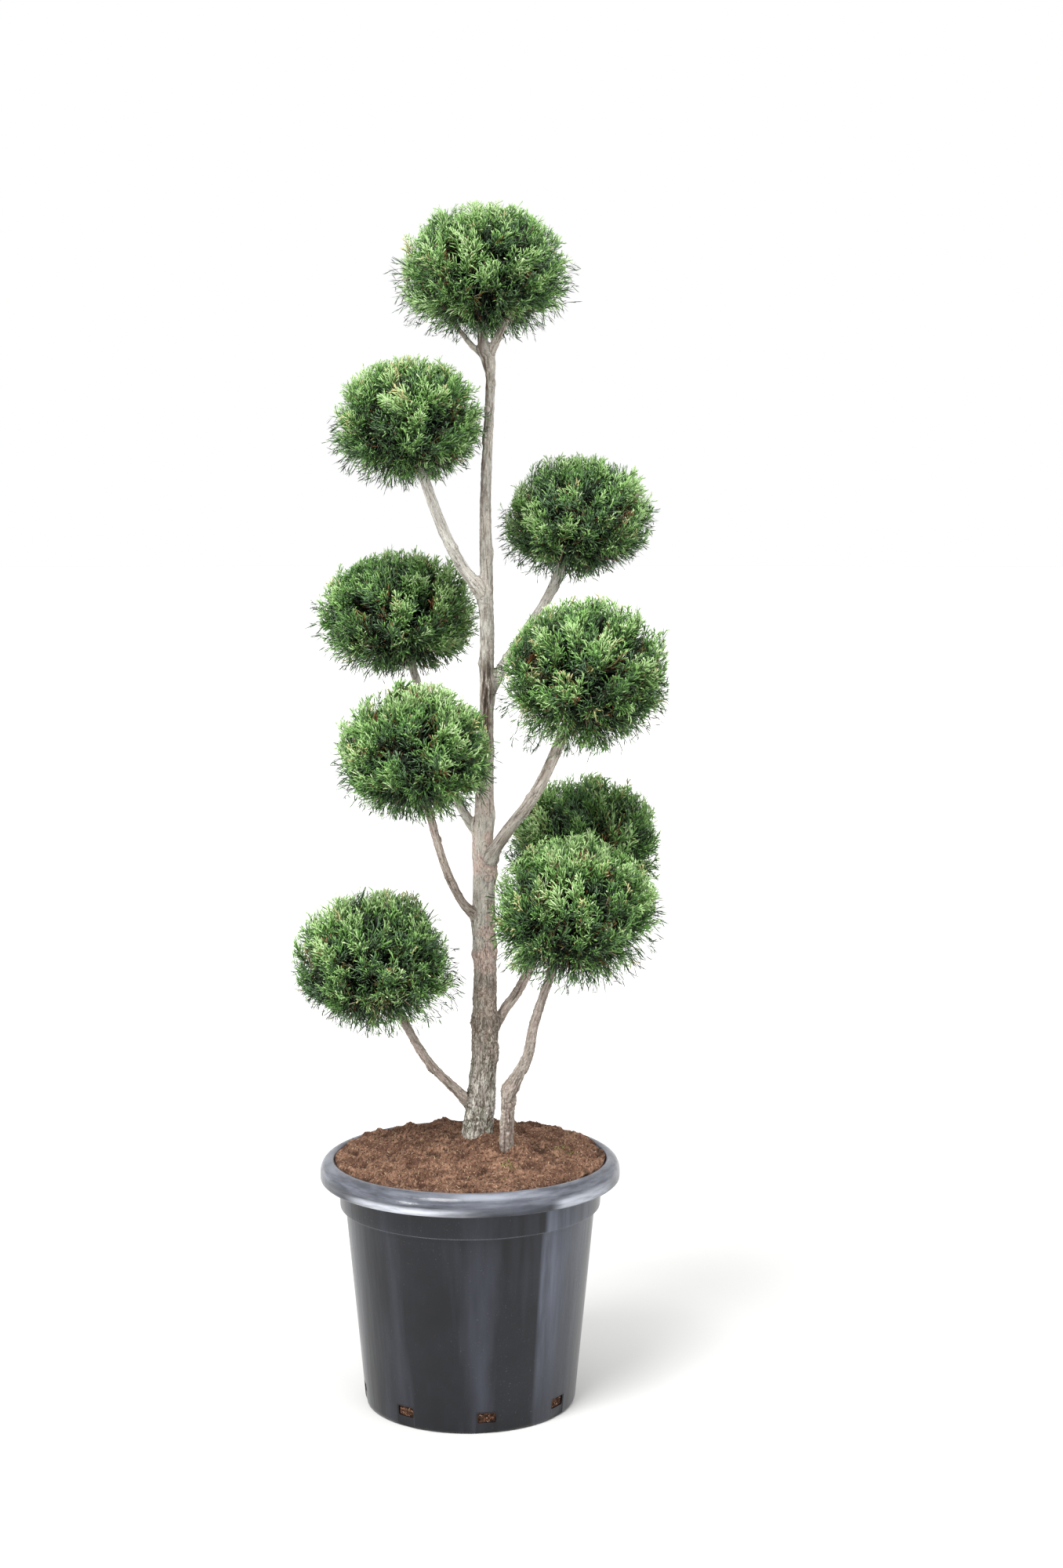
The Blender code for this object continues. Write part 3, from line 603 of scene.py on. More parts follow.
# Fibres and crumbs lie on the crust, and a few hang in the drain holes
def makeLitter():
    form = litterForm
    dice = np.random.default_rng(form["seed"])
    litter = Bundle()

    def scatter(count):
        around = dice.uniform(0, math.tau, count)
        out = form["reach"] * np.sqrt(dice.uniform(0, 1, count))
        return out * np.cos(around), out * np.sin(around)

    def onCrust(x, y, lift):
        return np.stack([x, y, np.array([crustHeight(*spot) for spot in zip(x, y)]) + lift], axis=1)

    count = form["fibres"]
    x, y = scatter(count)
    length = dice.uniform(*form["fibreLength"], count)
    turn = dice.uniform(0, math.tau, count)
    dx, dy = np.cos(turn) * length / 2, np.sin(turn) * length / 2
    lift = dice.uniform(-0.0002, 0.0012, count)
    starts, ends = onCrust(x - dx, y - dy, lift), onCrust(x + dx, y + dy, lift)
    ends[:, 2] += dice.uniform(-0.0003, 0.0018, count)
    ends[:, :2] *= (form["edge"] / np.maximum(np.hypot(x + dx, y + dy), form["edge"]))[:, None]
    upright = (0.0, 0.0, 1.0) + dice.normal(0, 0.3, (count, 3))
    picks = dice.choice(6, count, p=(0.37, 0.30, 0.14, 0.15, 0.035, 0.005))
    # fibres deep between the clods take the dark colours, as painted shade
    pits = np.array([pitDepth(*spot) for spot in onCrust(x, y, 0)])
    picks = np.where(dice.uniform(0.1, 1.1, count) < pits, dice.choice((1, 2, 2), count), picks)
    litter.add(slips(starts, ends, dice.uniform(*form["fibreWidth"], count), upright, 0.5), picks)

    count = form["crumbs"]
    x, y = scatter(count)
    size = dice.uniform(*form["crumbSize"], count)
    middle = onCrust(x, y, 0.15 * size)
    lean = unit(dice.normal(0, 1, (count, 3))) * size[:, None] / 2
    picks = dice.choice(6, count, p=(0.40, 0.26, 0.24, 0.10, 0.0, 0.0))
    litter.add(slips(middle - lean, middle + lean, size * dice.uniform(0.6, 1.1, count),
                     dice.normal(0, 1, (count, 3)), 0.5, 0.9), picks)

    count = form["greens"]
    for greenX, greenY, reach in form["greenSpots"]:
        x, y = greenX + dice.normal(0, reach / 2, count), greenY + dice.normal(0, reach / 3, count)
        starts = onCrust(x, y, -0.0005)
        ends = starts + dice.normal(0, 0.0035, (count, 3)) * (1, 1, 0.3) + (0, 0, 0.0022)
        litter.add(slips(starts, ends, dice.uniform(0.0006, 0.0012, count), (0.3, 0.1, 1.0), 0.5), 5)

    count = form["drainBits"]
    foot, slope = form["drainWall"]
    for angle in notchAngles():
        outward = np.array((math.sin(angle), -math.cos(angle), 0.0))
        along = np.array((math.cos(angle), math.sin(angle), 0.0))
        sideways = dice.uniform(-form["drainSide"], form["drainSide"], count)[:, None]
        up = dice.uniform(*form["drainHeights"], count)[:, None]
        middle = outward * (foot + up * slope) + along * sideways + (0, 0, 1) * up
        lean = dice.normal(0, 1, (count, 3)) * (1, 1, 0.5)
        lean = unit(lean - outward * np.sum(lean * outward, axis=1, keepdims=True) * 0.7)
        lean *= dice.uniform(0.0012, 0.003, count)[:, None]
        ends = middle + lean
        ends[:, 2] = np.clip(ends[:, 2], *form["drainLimits"])
        # the bits in the drain holes are dealt mostly dark colours, as painted shade
        litter.add(slips(middle - lean * 0.6, ends, dice.uniform(0.0008, 0.0018, count),
                         dice.normal(0, 1, (count, 3)), 0.5, 0.8),
                   dice.choice(6, count, p=(0.16, 0.34, 0.42, 0.08, 0.0, 0.0)))
    materials = [plainMaterial(name, srgb(*colour), 0.9, 0.2) for name, colour in form["colours"]]
    piece = litter.makeMesh("peat_litter", materials, smooth=False)
    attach(piece, "root")


makePeat()
makeLitter()
print("peat made")


# Limbs follow the same curves as in the CAD model
def smoothPath(knots, spacing):
    knots = [np.array(knot) for knot in knots]
    ends = [2 * knots[0] - knots[1], *knots, 2 * knots[-1] - knots[-2]]
    path = []
    for a, b, c, d in zip(ends, ends[1:], ends[2:], ends[3:]):
        steps = max(1, round(np.linalg.norm((c - b)[:3]) / spacing))
        for t in np.arange(steps) / steps:
            path.append(0.5 * (2 * b + (c - a) * t + (2 * a - 5 * b + 4 * c - d) * t * t
                               + (3 * b - a - 3 * c + d) * t ** 3))
    return np.array([*path, knots[-1]])


# 0 at a pom-pom's heart and 1 at its surface, as the CAD model has it
def outlineShare(pompom, points):
    x, y, z, radius, rise, drop = pompomForms[pompom]
    across = np.hypot(points[..., 0] - x, points[..., 1] - y) / radius
    height = points[..., 2] - z
    return np.hypot(across, height / np.where(height > 0, rise, drop))


limbForm = {"step": 0.004, "collar": 0.36, "collarLength": 0.016, "tipShare": 0.60, "heel": 2.6,
            "heelShare": 0.42}


def trunkAt(height):
    knots = np.array(stems["trunk"][2])
    return np.array([np.interp(height, knots[:, 2], knots[:, column]) for column in (0, 1, 3)])


def limbPath(name):
    form = limbForm
    if name in boughForms:
        pompom, rootRadius, endRadius, bends = boughForms[name]
        if stemOf[pompom] == name:
            bends = (*bends, pompomForms[pompom][:3])
        radii = np.linspace(rootRadius, endRadius, len(bends))
        foot = bends[0][2] - form["heel"] * trunkAt(bends[0][2])[2]
        heel = (*trunkAt(foot)[:2], foot, rootRadius * form["heelShare"])
        path = smoothPath([heel, *((*bend, radius) for bend, radius in zip(bends, radii))], form["step"])
    else:
        pompom, endRadius, knots = stems[name]
        path = smoothPath([*knots, (*pompomForms[pompom][:3], endRadius)], form["step"])
    inside = np.nonzero(outlineShare(pompom, path) < form["tipShare"])[0]
    if len(inside):
        path = path[:inside[0] + 1]
    travelled = np.concatenate([[0], np.cumsum(np.linalg.norm(np.diff(path[:, :3], axis=0), axis=1))])
    if name in boughForms:
        travelled -= np.linalg.norm(np.array(bends[0]) - heel[:3])
        fromCollar = (travelled - form["collarLength"]) / form["collarLength"]
        path[:, 3] *= 1 + form["collar"] * np.exp(-fromCollar ** 2)
    return path, travelled


limbs = {name: limbPath(name) for name in (*stems, *boughForms)}

barkForm = {
    "sides": 18, "flare": 0.16, "flareHeight": 0.022, "lobes": 5, "hollow": 0.5, "trunkPull": 1.4,
    "plate": 0.0062, "plateStretch": 0.40, "plateDepth": 0.0013, "ridgeDepth": 0.0011, "waver": 0.0021,
    "web": 0.40, "webReach": 0.95, "jointReach": 0.0085, "calmReach": 0.006, "knotSize": (0.0028, 0.0062),
    "knotHeight": (0.0008, 0.0026), "batch": 4000, "seed": 19,
    "silver": {"bough_bottom_left": 0.12, "bough_low_right_back": 0.12, "bough_low_left": 0.08,
               "bough_mid_right": 0.32, "bough_mid_left": 0.50, "bough_upper_right": 0.85,
               "bough_upper_left": 0.78, "fork_right": 0.25, "fork_left": 0.30, "side_stem": 0.15,
               "trunk": 0.5},
}
woodForms = {  # a burl's row: height, degrees round from the front, size and swell
    "bark_trunk_and_boughs": {
        "limbs": ["trunk", *boughForms], "voxel": 0.0017, "coarse": 1.0, "knots": 84,
        "burls": ((0.982, -85, 0.006, 0.0018), (0.498, -80, 0.009, 0.0034), (0.588, -85, 0.006, 0.002),
                  (0.594, 88, 0.007, 0.002), (0.7, 60, 0.012, 0.0026), (0.632, -40, 0.01, 0.002),
                  (1.06, -35, 0.01, 0.0022), (1.285, -70, 0.006, 0.0016), (0.401, -60, 0.01, 0.0022),
                  (0.775, 80, 0.008, 0.0014), (0.86, 70, 0.007, 0.0014), (1.13, 85, 0.006, 0.0014),
                  (0.54, 40, 0.01, 0.0016), (0.452, 85, 0.01, 0.0018))},
    "bark_side_stem": {
        "limbs": ["side_stem"], "voxel": 0.0014, "coarse": 0.7, "knots": 6,
        "burls": ((0.424, -80, 0.009, 0.003), (0.402, 60, 0.007, 0.0016), (0.452, 70, 0.006, 0.0016),
                  (0.372, -70, 0.006, 0.0014))},
}


# A limb as a round tube, from a curve turned into a mesh
def tubeFrom(name):
    curve = bpy.data.curves.new(name, "CURVE")
    curve.dimensions = "3D"
    curve.bevel_depth = 1.0
    curve.bevel_resolution = barkForm["sides"] // 4
    curve.use_fill_caps = True
    spline = curve.splines.new("POLY")
    path = limbs[name][0]
    spline.points.add(len(path) - 1)
    for point, (x, y, z, radius) in zip(spline.points, path):
        point.co = (x, y, z, 1.0)
        point.radius = radius
    pickOnly(newObject(name + "_tube", curve))
    bpy.ops.object.convert(target="MESH")
    tube = bpy.context.object
    enterEdit("SELECT")
    bpy.ops.mesh.remove_doubles(threshold=0.00001)
    leaveEdit()
    return tube


def flareFoot(tube, x, y, foot):
    for corner in tube.data.vertices:
        height = corner.co.z - foot
        angle = math.atan2(corner.co.y - y, corner.co.x - x)
        lobes = 1 - barkForm["hollow"] * (1 - math.cos(barkForm["lobes"] * angle)) / 2
        spread = 1 + barkForm["flare"] * lobes * math.exp(-max(height, 0.0) / barkForm["flareHeight"])
        corner.co.x = x + (corner.co.x - x) * spread
        corner.co.y = y + (corner.co.y - y) * spread


# Smooths the wood where limbs meet, and gives the share of relief that each point keeps
def easeJoints(wood, names):
    form = barkForm
    spots = readPoints(wood.data, "co")
    gaps, ownGaps = [], []
    for name in names:
        path = limbs[name][0][::2]
        away = np.linalg.norm(spots[:, None] - path[None, :, :3], axis=2)
        gaps.append(np.min(away - path[:, 3], axis=1))
        ownGaps.append(np.min(away - path[:, 3] * (form["trunkPull"] if name == "trunk" else 1.0), axis=1))
    ownGaps = np.sort(np.stack(ownGaps), axis=0)
    joints = wood.vertex_groups.new(name="joints")
    weights = np.clip(1.3 - np.sort(np.stack(gaps), axis=0)[1] / form["jointReach"], 0, 1)
    for number in np.nonzero(weights > 0)[0]:
        joints.add([int(number)], float(weights[number]), "REPLACE")
    addModifier(wood, "ease the joints", "SMOOTH", iterations=90, factor=0.5, vertex_group="joints")
    applyModifiers(wood)
    return 0.15 + 0.85 * np.clip((ownGaps[1] - ownGaps[0]) / form["calmReach"], 0, 1)


# Where each point of the wood lies: its limb, how far along it, and round it
def alongLimbs(places, names):
    paths = [limbs[name][0] for name in names]
    line = np.concatenate(paths)
    centres, radii = line[:, :3], line[:, 3]
    directions = np.concatenate([unit(np.gradient(path[:, :3], axis=0)) for path in paths])
    travels = np.concatenate([limbs[name][1] for name in names])
    owners = np.repeat(np.arange(len(names)), [len(path) for path in paths])
    pull = radii * np.where(owners, 1.0, barkForm["trunkPull"])
    nearest = np.empty(len(places), int)
    for first in range(0, len(places), barkForm["batch"]):
        some = slice(first, first + barkForm["batch"])
        nearest[some] = np.argmin(np.linalg.norm(places[some, None] - centres, axis=2) - pull, axis=1)
    offset = places - centres[nearest]
    axis = directions[nearest]
    ahead = np.sum(offset * axis, axis=1)
    guide = np.where(owners[nearest][:, None] < 1, (1.0, 0.0, 0.0), (0.1, 1.0, 0.0))
    first, second = acrossAxes(axis, guide)
    around = np.arctan2(np.sum(offset * second, axis=1), np.sum(offset * first, axis=1))
    return owners[nearest], travels[nearest] + ahead, around, radii[nearest]


def makeWood(pieceName, material):
    form = {**barkForm, **woodForms[pieceName]}
    names = form["limbs"]
    footX, footY, foot, _ = stems[names[0]][2][0]
    tubes = [tubeFrom(name) for name in names]
    flareFoot(tubes[0], footX, footY, foot)
    pickOnly(*tubes)
    if len(tubes) > 1:
        bpy.ops.object.join()
    wood = bpy.context.object
    wood.name = pieceName
    addModifier(wood, "grown together", "REMESH", mode="VOXEL", voxel_size=form["voxel"])
    addModifier(wood, "soften", "SMOOTH", iterations=5, factor=0.5)
    applyModifiers(wood)
    calm = easeJoints(wood, names) if len(names) > 1 else 1.0
    mesh = wood.data
    places, normals = readPoints(mesh, "co"), readPoints(mesh, "normal")
    owner, along, around, radius = alongLimbs(places, names)
    grain = np.stack([np.cos(around) * radius, np.sin(around) * radius,
                      along * form["plateStretch"] + owner * 3.0], axis=1)
    coarse = np.clip(1.15 - (places[:, 2] - 0.334) / 0.36, 0.15, 1.0) * np.where(owner == 0, 1.0, 0.55)
    coarse *= form["coarse"]
    crack, ridge, waver = np.empty((3, len(places)))
    for number, spot in enumerate(map(Vector, grain)):
        near = noise.voronoi(spot / form["plate"] + 0.7 * noise.noise_vector(spot * 190))[0]
        crack[number] = near[1] - near[0]
        ridge[number] = noise.fractal(spot * 330, 0.8, 2.1, 3)
        waver[number] = noise.noise(spot * 70)
    plates = np.clip(crack / 0.17, 0, 1)
    plates = plates * plates * (3 - 2 * plates)
    plates = 1 - (1 - plates) * np.clip(coarse * 1.15, 0, 1) ** 1.5
    lift = (form["plateDepth"] * (plates - 0.8) + form["ridgeDepth"] * (0.35 + coarse) * ridge
            + form["waver"] * (0.3 + 0.7 * coarse) * waver * np.clip(radius / 0.014, 0.35, 1)) * calm
    dice = np.random.default_rng(form["seed"] + len(names))
    for spot in dice.choice(len(places), form["knots"], replace=False):
        size, height = dice.uniform(*form["knotSize"]), dice.uniform(*form["knotHeight"])
        away = np.linalg.norm(places - places[spot], axis=1) / size
        lift += height * (np.exp(-(away * 1.15) ** 2) - 0.35 * np.exp(-(away * 3.2) ** 2))
        plates = np.minimum(plates, 1 - 0.8 * np.exp(-((away - 0.9) / 0.22) ** 2))
    path = limbs[names[0]][0]
    for height, turn, size, swell in form["burls"]:
        x, y, _, reach = path[np.argmin(np.abs(path[:, 2] - height))]
        turn = math.radians(turn)
        spot = (x + reach * math.sin(turn), y - reach * math.cos(turn), height)
        away = np.linalg.norm((places - spot) * (1, 1, 0.7), axis=1) / size
        lift += swell * np.exp(-away ** 2) * (1 + 0.5 * ridge)
    for name in names[1:]:
        _, rootRadius, _, bends = boughForms[name]
        x, y, reach = trunkAt(bends[0][2])
        out = unit(np.array([bends[1][0] - x, bends[1][1] - y, 0.0]))
        spot = np.array((x, y, bends[0][2])) + out * reach * 0.9 - (0, 0, 0.25 * reach)
        away = np.linalg.norm((places - spot) * (1, 1, 0.55), axis=1) / (reach * form["webReach"])
        lift += form["web"] * rootRadius * np.exp(-away ** 2)
    lift *= np.clip((places[:, 2] - foot) / 0.002, 0, 1)
    places += normals * lift[:, None]
    mesh.vertices.foreach_set("co", places.astype(np.float32).ravel())
    silver = np.array([form["silver"][name] for name in names])[owner]
    silver = 0.5 + (silver - 0.5) * np.where(owner == 0, 1, np.clip(along / 0.04, 0, 1))
    addAttribute(mesh, "grain", grain, "FLOAT_VECTOR", "vector")
    addAttribute(mesh, "plates", plates)
    addAttribute(mesh, "silver", silver)
    addAttribute(mesh, "stem", (owner == 0) & (names[0] == "trunk"))
    mesh.update()
    mesh.shade_smooth()
    dress(wood, material)
    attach(wood, "root")
    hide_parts(*names)


def barkMaterial():
    bark = Layers("grey fissured bark", 0.9, 0.25)
    spread, times, mottled = bark.spread, bark.times, bark.mottled
    grain = bark.attribute("grain", "Vector")
    plates, silver, stem = (bark.attribute(name) for name in ("plates", "silver", "stem"))
    height, sideways = bark.height, bark.part(grain, "X")
    fibres = bark.noise(230, 5, 0.68, bark.stretched((1, 1, 0.45), grain))
    seams = bark.noise(420, 4, 0.6, bark.stretched((1, 1, 0.20), grain))
    blotches = bark.noise(95, 4, 0.62, grain)
    patches = bark.noise(24, 4)
    flecks = bark.noise(620, 3, 0.6, grain)
    cracks = bark.cells(250, bark.wobbled(bark.stretched((1, 1, 0.9), grain), 260, 0.010))
    left = spread(sideways, 0.003, -0.004, smooth=True)
    core = bark.band(sideways, (-0.0085, -0.0055), (0.0080, 0.0040))

    def onStem(rise, fall, *shares, rest=0.0):
        return times(bark.band(height, rise, fall, True, rest), stem, *shares)

    brown = times(spread(silver, 0.5, 0.1), spread(blotches, 0.3, 0.62, (0.95, 0.45)))
    fair = onStem((0.57, 0.62), (0.84, 0.78), spread(blotches, 0.34, 0.60, (0.2, 0.65)), rest=0.1)
    pink = onStem((0.41, 0.50), (0.84, 0.74), spread(patches, 0.46, 0.58, (0.0, 0.8), True), rest=0.1)
    dull = onStem((0.38, 0.50), (0.590, 0.545), spread(blotches, 0.34, 0.62, (0.95, 0.50)))
    lichen = times(spread(height, 0.60, 0.38, (0.0, 0.8), True), spread(blotches, 0.44, 0.58),
                   spread(silver, 0.15, 0.5, (0.3, 1.0)))
    pale = times(spread(silver, 0.5, 1.0), spread(blotches, 0.3, 0.7, (0.9, 0.45)))
    # painted shade down the front and back of the trunk from 0.84 to 1.03 m, where the lower pom-poms crowd
    # round it
    painted_shade_mid_trunk = onStem((0.835, 0.862), (1.03, 0.955), spread(fibres, 0.68, 0.48, (0.3, 1.0)),
                   spread(core, 0, 1, (0.30, 1.0)))
    # painted shade over the upper trunk from 0.95 m up, among the pom-poms, mottled by blotches
    painted_shade_upper_trunk = times(spread(height, 0.95, 1.02, smooth=True), stem,
                      spread(blotches, 0.32, 0.62, (0.42, 0.18)))
    # painted shade on the front of the boughs and side stem from 0.4 to 0.6 m, under the lowest pom-poms
    painted_shade_low_limbs = times(spread(height, 0.395, 0.425, (0, 0.34), True), spread(height, 0.60, 0.56, smooth=True),
                spread(stem, 1.0, 0.0), spread(bark.part(bark.place, "Y"), 0.0, -0.008))
    # darker left side of the upper trunk from 1.16 m up, beside the upper left pom-pom: partly stain, partly
    # painted shade
    upper = times(spread(height, 1.16, 1.24, smooth=True), left, stem, spread(fibres, 0.66, 0.44, (0, 0.85)))
    netted = times(spread(cracks, 0.13, 0.02), spread(height, 0.76, 0.42, (0.25, 0.9), True),
                   spread(stem, 0, 1, (0.45, 1.0)), spread(blotches, 0.36, 0.52, (0.35, 1.0)))
    colour = bark.coated(
        mottled(fibres, 0.36, 0.64, (120, 112, 102), (230, 226, 217)),
        (spread(blotches, 0.44, 0.64, (0, 0.6)), (184, 174, 162)),
        (brown, mottled(seams, 0.36, 0.62, (94, 74, 64), (194, 172, 161))),
        (fair, (232, 224, 212)),
        (pink, mottled(flecks, 0.3, 0.7, (180, 146, 134), (240, 216, 206))),
        (dull, mottled(seams, 0.38, 0.62, (84, 73, 63), (144, 131, 118))),
        (lichen, mottled(fibres, 0.35, 0.65, (104, 107, 92), (180, 183, 168))),
        (pale, mottled(seams, 0.35, 0.62, (150, 145, 140), (222, 219, 213))),
        (spread(seams, 0.42, 0.33, (0, 0.85)), (84, 72, 62)),
        (spread(flecks, 0.60, 0.68, (0, 0.6)), (236, 234, 226)),
        (spread(flecks, 0.41, 0.33, (0, 0.75)), (70, 58, 49)),
        (painted_shade_mid_trunk, mottled(seams, 0.4, 0.6, (50, 40, 34), (116, 100, 88))),
        (painted_shade_upper_trunk, (98, 94, 88)),
        (painted_shade_low_limbs, (92, 86, 80)),
        (upper, (84, 64, 54)),
        (netted, (66, 53, 43)),
        (spread(plates, 0.6, 0.0, (0.0, 0.85)), (64, 52, 42)))
    rough = bark.relief(cracks, 0.0016, 0.6, bark.relief(seams, 0.0010, 0.8))
    return bark.finish(colour, bark.relief(flecks, 0.0008, 0.7, rough))


fissured = barkMaterial()
for pieceName in woodForms:
    makeWood(pieceName, fissured)
print("bark made")

# Foliage: the source's rule, carried on to finer twigs and forking sprays
foliageForm = {
    "seed": 41, "stray": 0.25, "limbMargin": 0.003, "boxMargin": 0.0012, "crown": 0.055, "tuftWidth": 0.30,
    "limbs": 16, "limbReach": 0.56, "limbRadius": (0.0022, 0.001),
    "twigs": 96, "twigReach": (0.72, 0.82), "twigRadius": (0.00115, 0.0005),
    "sprays": 1160, "reach": (0.985, 1.09), "clump": 0.105, "clumpSize": 0.17, "fan": 0.34, "swing": 0.9,
    "lean": (0.2, 1.05), "lowLean": 0.25, "roll": 0.8, "sprayLength": (0.04, 0.064), "bend": (0.0, 0.34),
    "clip": (0.945, 1.0), "side": 9, "forks": 10, "angle": (10, 31), "width": (0.0015, 0.0024),
    "cleft": 0.60, "lowShare": 0.62, "tallest": 1.15,
    "hairs": 560, "hairReach": (1.0, 1.10), "hairLength": (0.024, 0.04), "hairWidth": (0.001, 0.0016),
    "deep": 620, "deepReach": (0.42, 0.84), "deepLength": (0.026, 0.044), "deepWidth": (0.0028, 0.0046),
    "deadTwigs": 26, "deadReach": (0.80, 0.985), "deadRadius": (0.0011, 0.0006),
}
# Brighter or darker, share of bluish sprays, fullness of the lower shoulders, skew, and where a pom-pom is
# fuller or flatter: degrees round from its right side, seen from the front, and share of its radius
pompomLooks = {
    "top": (0.42, 0.16, 0.08, -0.02, ((-30, -0.05), (223, 0.04))),
    "upper_left": (0.38, 0.12, 0.05, 0.08, ((24, 0.06),)),
    "upper_right": (0.24, 0.36, 0.045, 0.13, ((36, 0.07), (-38, -0.05), (169, 0.04))),
    "mid_left": (0.28, 0.18, 0.03, 0.06, ((32, 0.08), (197, -0.05))),
    "mid_right": (0.40, 0.08, 0.045, 0.08, ((228, 0.09), (62, 0.03))),
    "low_left": (0.45, 0.06, 0.035, -0.03, ((167, 0.05), (262, -0.04))),
    "low_right_back": (0.15, 0.15, 0.04, 0.06, ((40, 0.03),)),
    "low_right_front": (0.10, 0.10, 0.05, 0.0, ((216, 0.08), (14, 0.04))),
    "bottom_left": (0.22, 0.30, 0.045, -0.12, ((59, 0.11), (215, -0.07), (-26, 0.06))),
}
needleColours = (  # from deep inside to the clipped tips, then the odd ones
    ("cypress shade", (20, 30, 17)), ("cypress deep", (40, 60, 34)), ("cypress blue", (96, 126, 90)),
    ("cypress mid", (72, 110, 54)), ("cypress leaf", (102, 148, 72)), ("cypress fresh", (136, 178, 100)),
    ("cypress tip", (170, 204, 136)), ("cypress straw", (196, 190, 136)), ("cypress rust", (128, 88, 58)),
    # a near-white green, a painted highlight on a few tips
    ("cypress pale", (206, 226, 176)),
)
blue, straw, rust, painted_highlight_green = 2, 7, 8, 9
twigColours = (
    ("twig brown", (112, 76, 52)), ("twig grey", (148, 132, 114)), ("twig olive", (122, 124, 68)),
    ("twig rust", (150, 88, 50)),
)


def evenWays(count, dice, stray):
    number = np.arange(count)
    height = 1 - 2 * (number + 0.5) / count
    around = number * math.pi * (3 - math.sqrt(5)) + dice.uniform(-stray, stray, count)
    level = np.sqrt(1 - height * height)
    return np.stack([level * np.cos(around), level * np.sin(around), height], axis=1)


def curvePoint(start, control, end, share):
    share = np.reshape(share, (-1, 1))
    return start * (1 - share) ** 2 + 2 * control * share * (1 - share) + end * share ** 2


def nearLimbs(points, margin):
    close = np.zeros(len(points), bool)
    for path, _ in limbs.values():
        low, high = path[:, :3].min(0) - 0.03, path[:, :3].max(0) + 0.03
        maybe = np.nonzero(np.all((points > low) & (points < high), axis=1))[0]
        if len(maybe):
            gaps = np.linalg.norm(points[maybe][:, None] - path[None, :, :3], axis=2) - path[None, :, 3]
            close[maybe] |= gaps.min(axis=1) < margin
    return close


# Shoots that keep clear of the limbs, of the box's sides and of the other pom-poms
def clearShoots(pompom, starts, ends, margin, share):
    clear = ~nearLimbs(ends, margin) & ~nearLimbs((starts + ends) / 2, margin)
    low, high = np.array(cadBox) + np.array([[1], [-1]]) * foliageForm["boxMargin"]
    for points in (starts, ends):
        clear &= np.all((points > low) & (points < high), axis=1)
    for other in pompomForms:
        if other != pompom:
            clear &= outlineShare(other, ends) > share
    return clear


# One spray for each root: a bent rib, alternate side shoots, and forks on these
def sprayShoots(count, dice):
    form = foliageForm
    starts, ends, ranks = [], [], []
    ribShares = (0, 0.36, 0.70, 1.0)
    bends = np.zeros((4, count, 3))
    for number in (1, 2, 3):
        bends[number] = np.stack([dice.normal(0, 0.045, count), np.full(count, ribShares[number]),
                                  dice.normal(0, 0.045, count)], axis=1)

    def shoot(base, angle, tilt, length, rank):
        way = np.stack([np.sin(angle) * np.cos(tilt), np.cos(angle), np.sin(angle) * np.sin(tilt)], axis=1)
        starts.append(base)
        ends.append(base + way * length[:, None])
        ranks.append(np.full(count, rank))
        return base, angle, tilt, length, way

    for number in range(3):
        starts.append(bends[number] - (bends[number + 1] - bends[number]) * 0.1)
        ends.append(bends[number + 1])
        ranks.append(np.full(count, 2 if number == 2 else 0))
    sides = []
    for number in range(form["side"]):
        along = 0.14 + 0.74 * (number + dice.uniform(-0.3, 0.3, count)) / form["side"]
        angle = np.radians(dice.uniform(*form["angle"], count)) * (1 if number % 2 else -1)
        tilt = np.radians(dice.normal(0, 30, count))
        share = np.interp(along, ribShares, range(4))
        first, rows = np.clip(share.astype(int), 0, 2), np.arange(count)
        low, high = bends[first, rows], bends[first + 1, rows]
        base = low + (high - low) * (share - first)[:, None]
        sides.append(shoot(base, angle, tilt, (0.41 - 0.22 * along) * dice.uniform(0.7, 1.2, count), 1))
    for number in range(form["forks"]):
        base, angle, tilt, length, way = sides[number % len(sides)]
        turn = angle + np.radians(dice.uniform(18, 36, count)) * (1 if number % 2 else -1)
        root = base + way * (length * dice.uniform(0.35, 0.7, count))[:, None]
        tilt = tilt + np.radians(dice.normal(0, 30, count))
        shoot(root, turn, tilt, length * dice.uniform(0.5, 0.8, count), 2)
    return np.stack(starts, axis=1), np.stack(ends, axis=1), np.stack(ranks, axis=1)


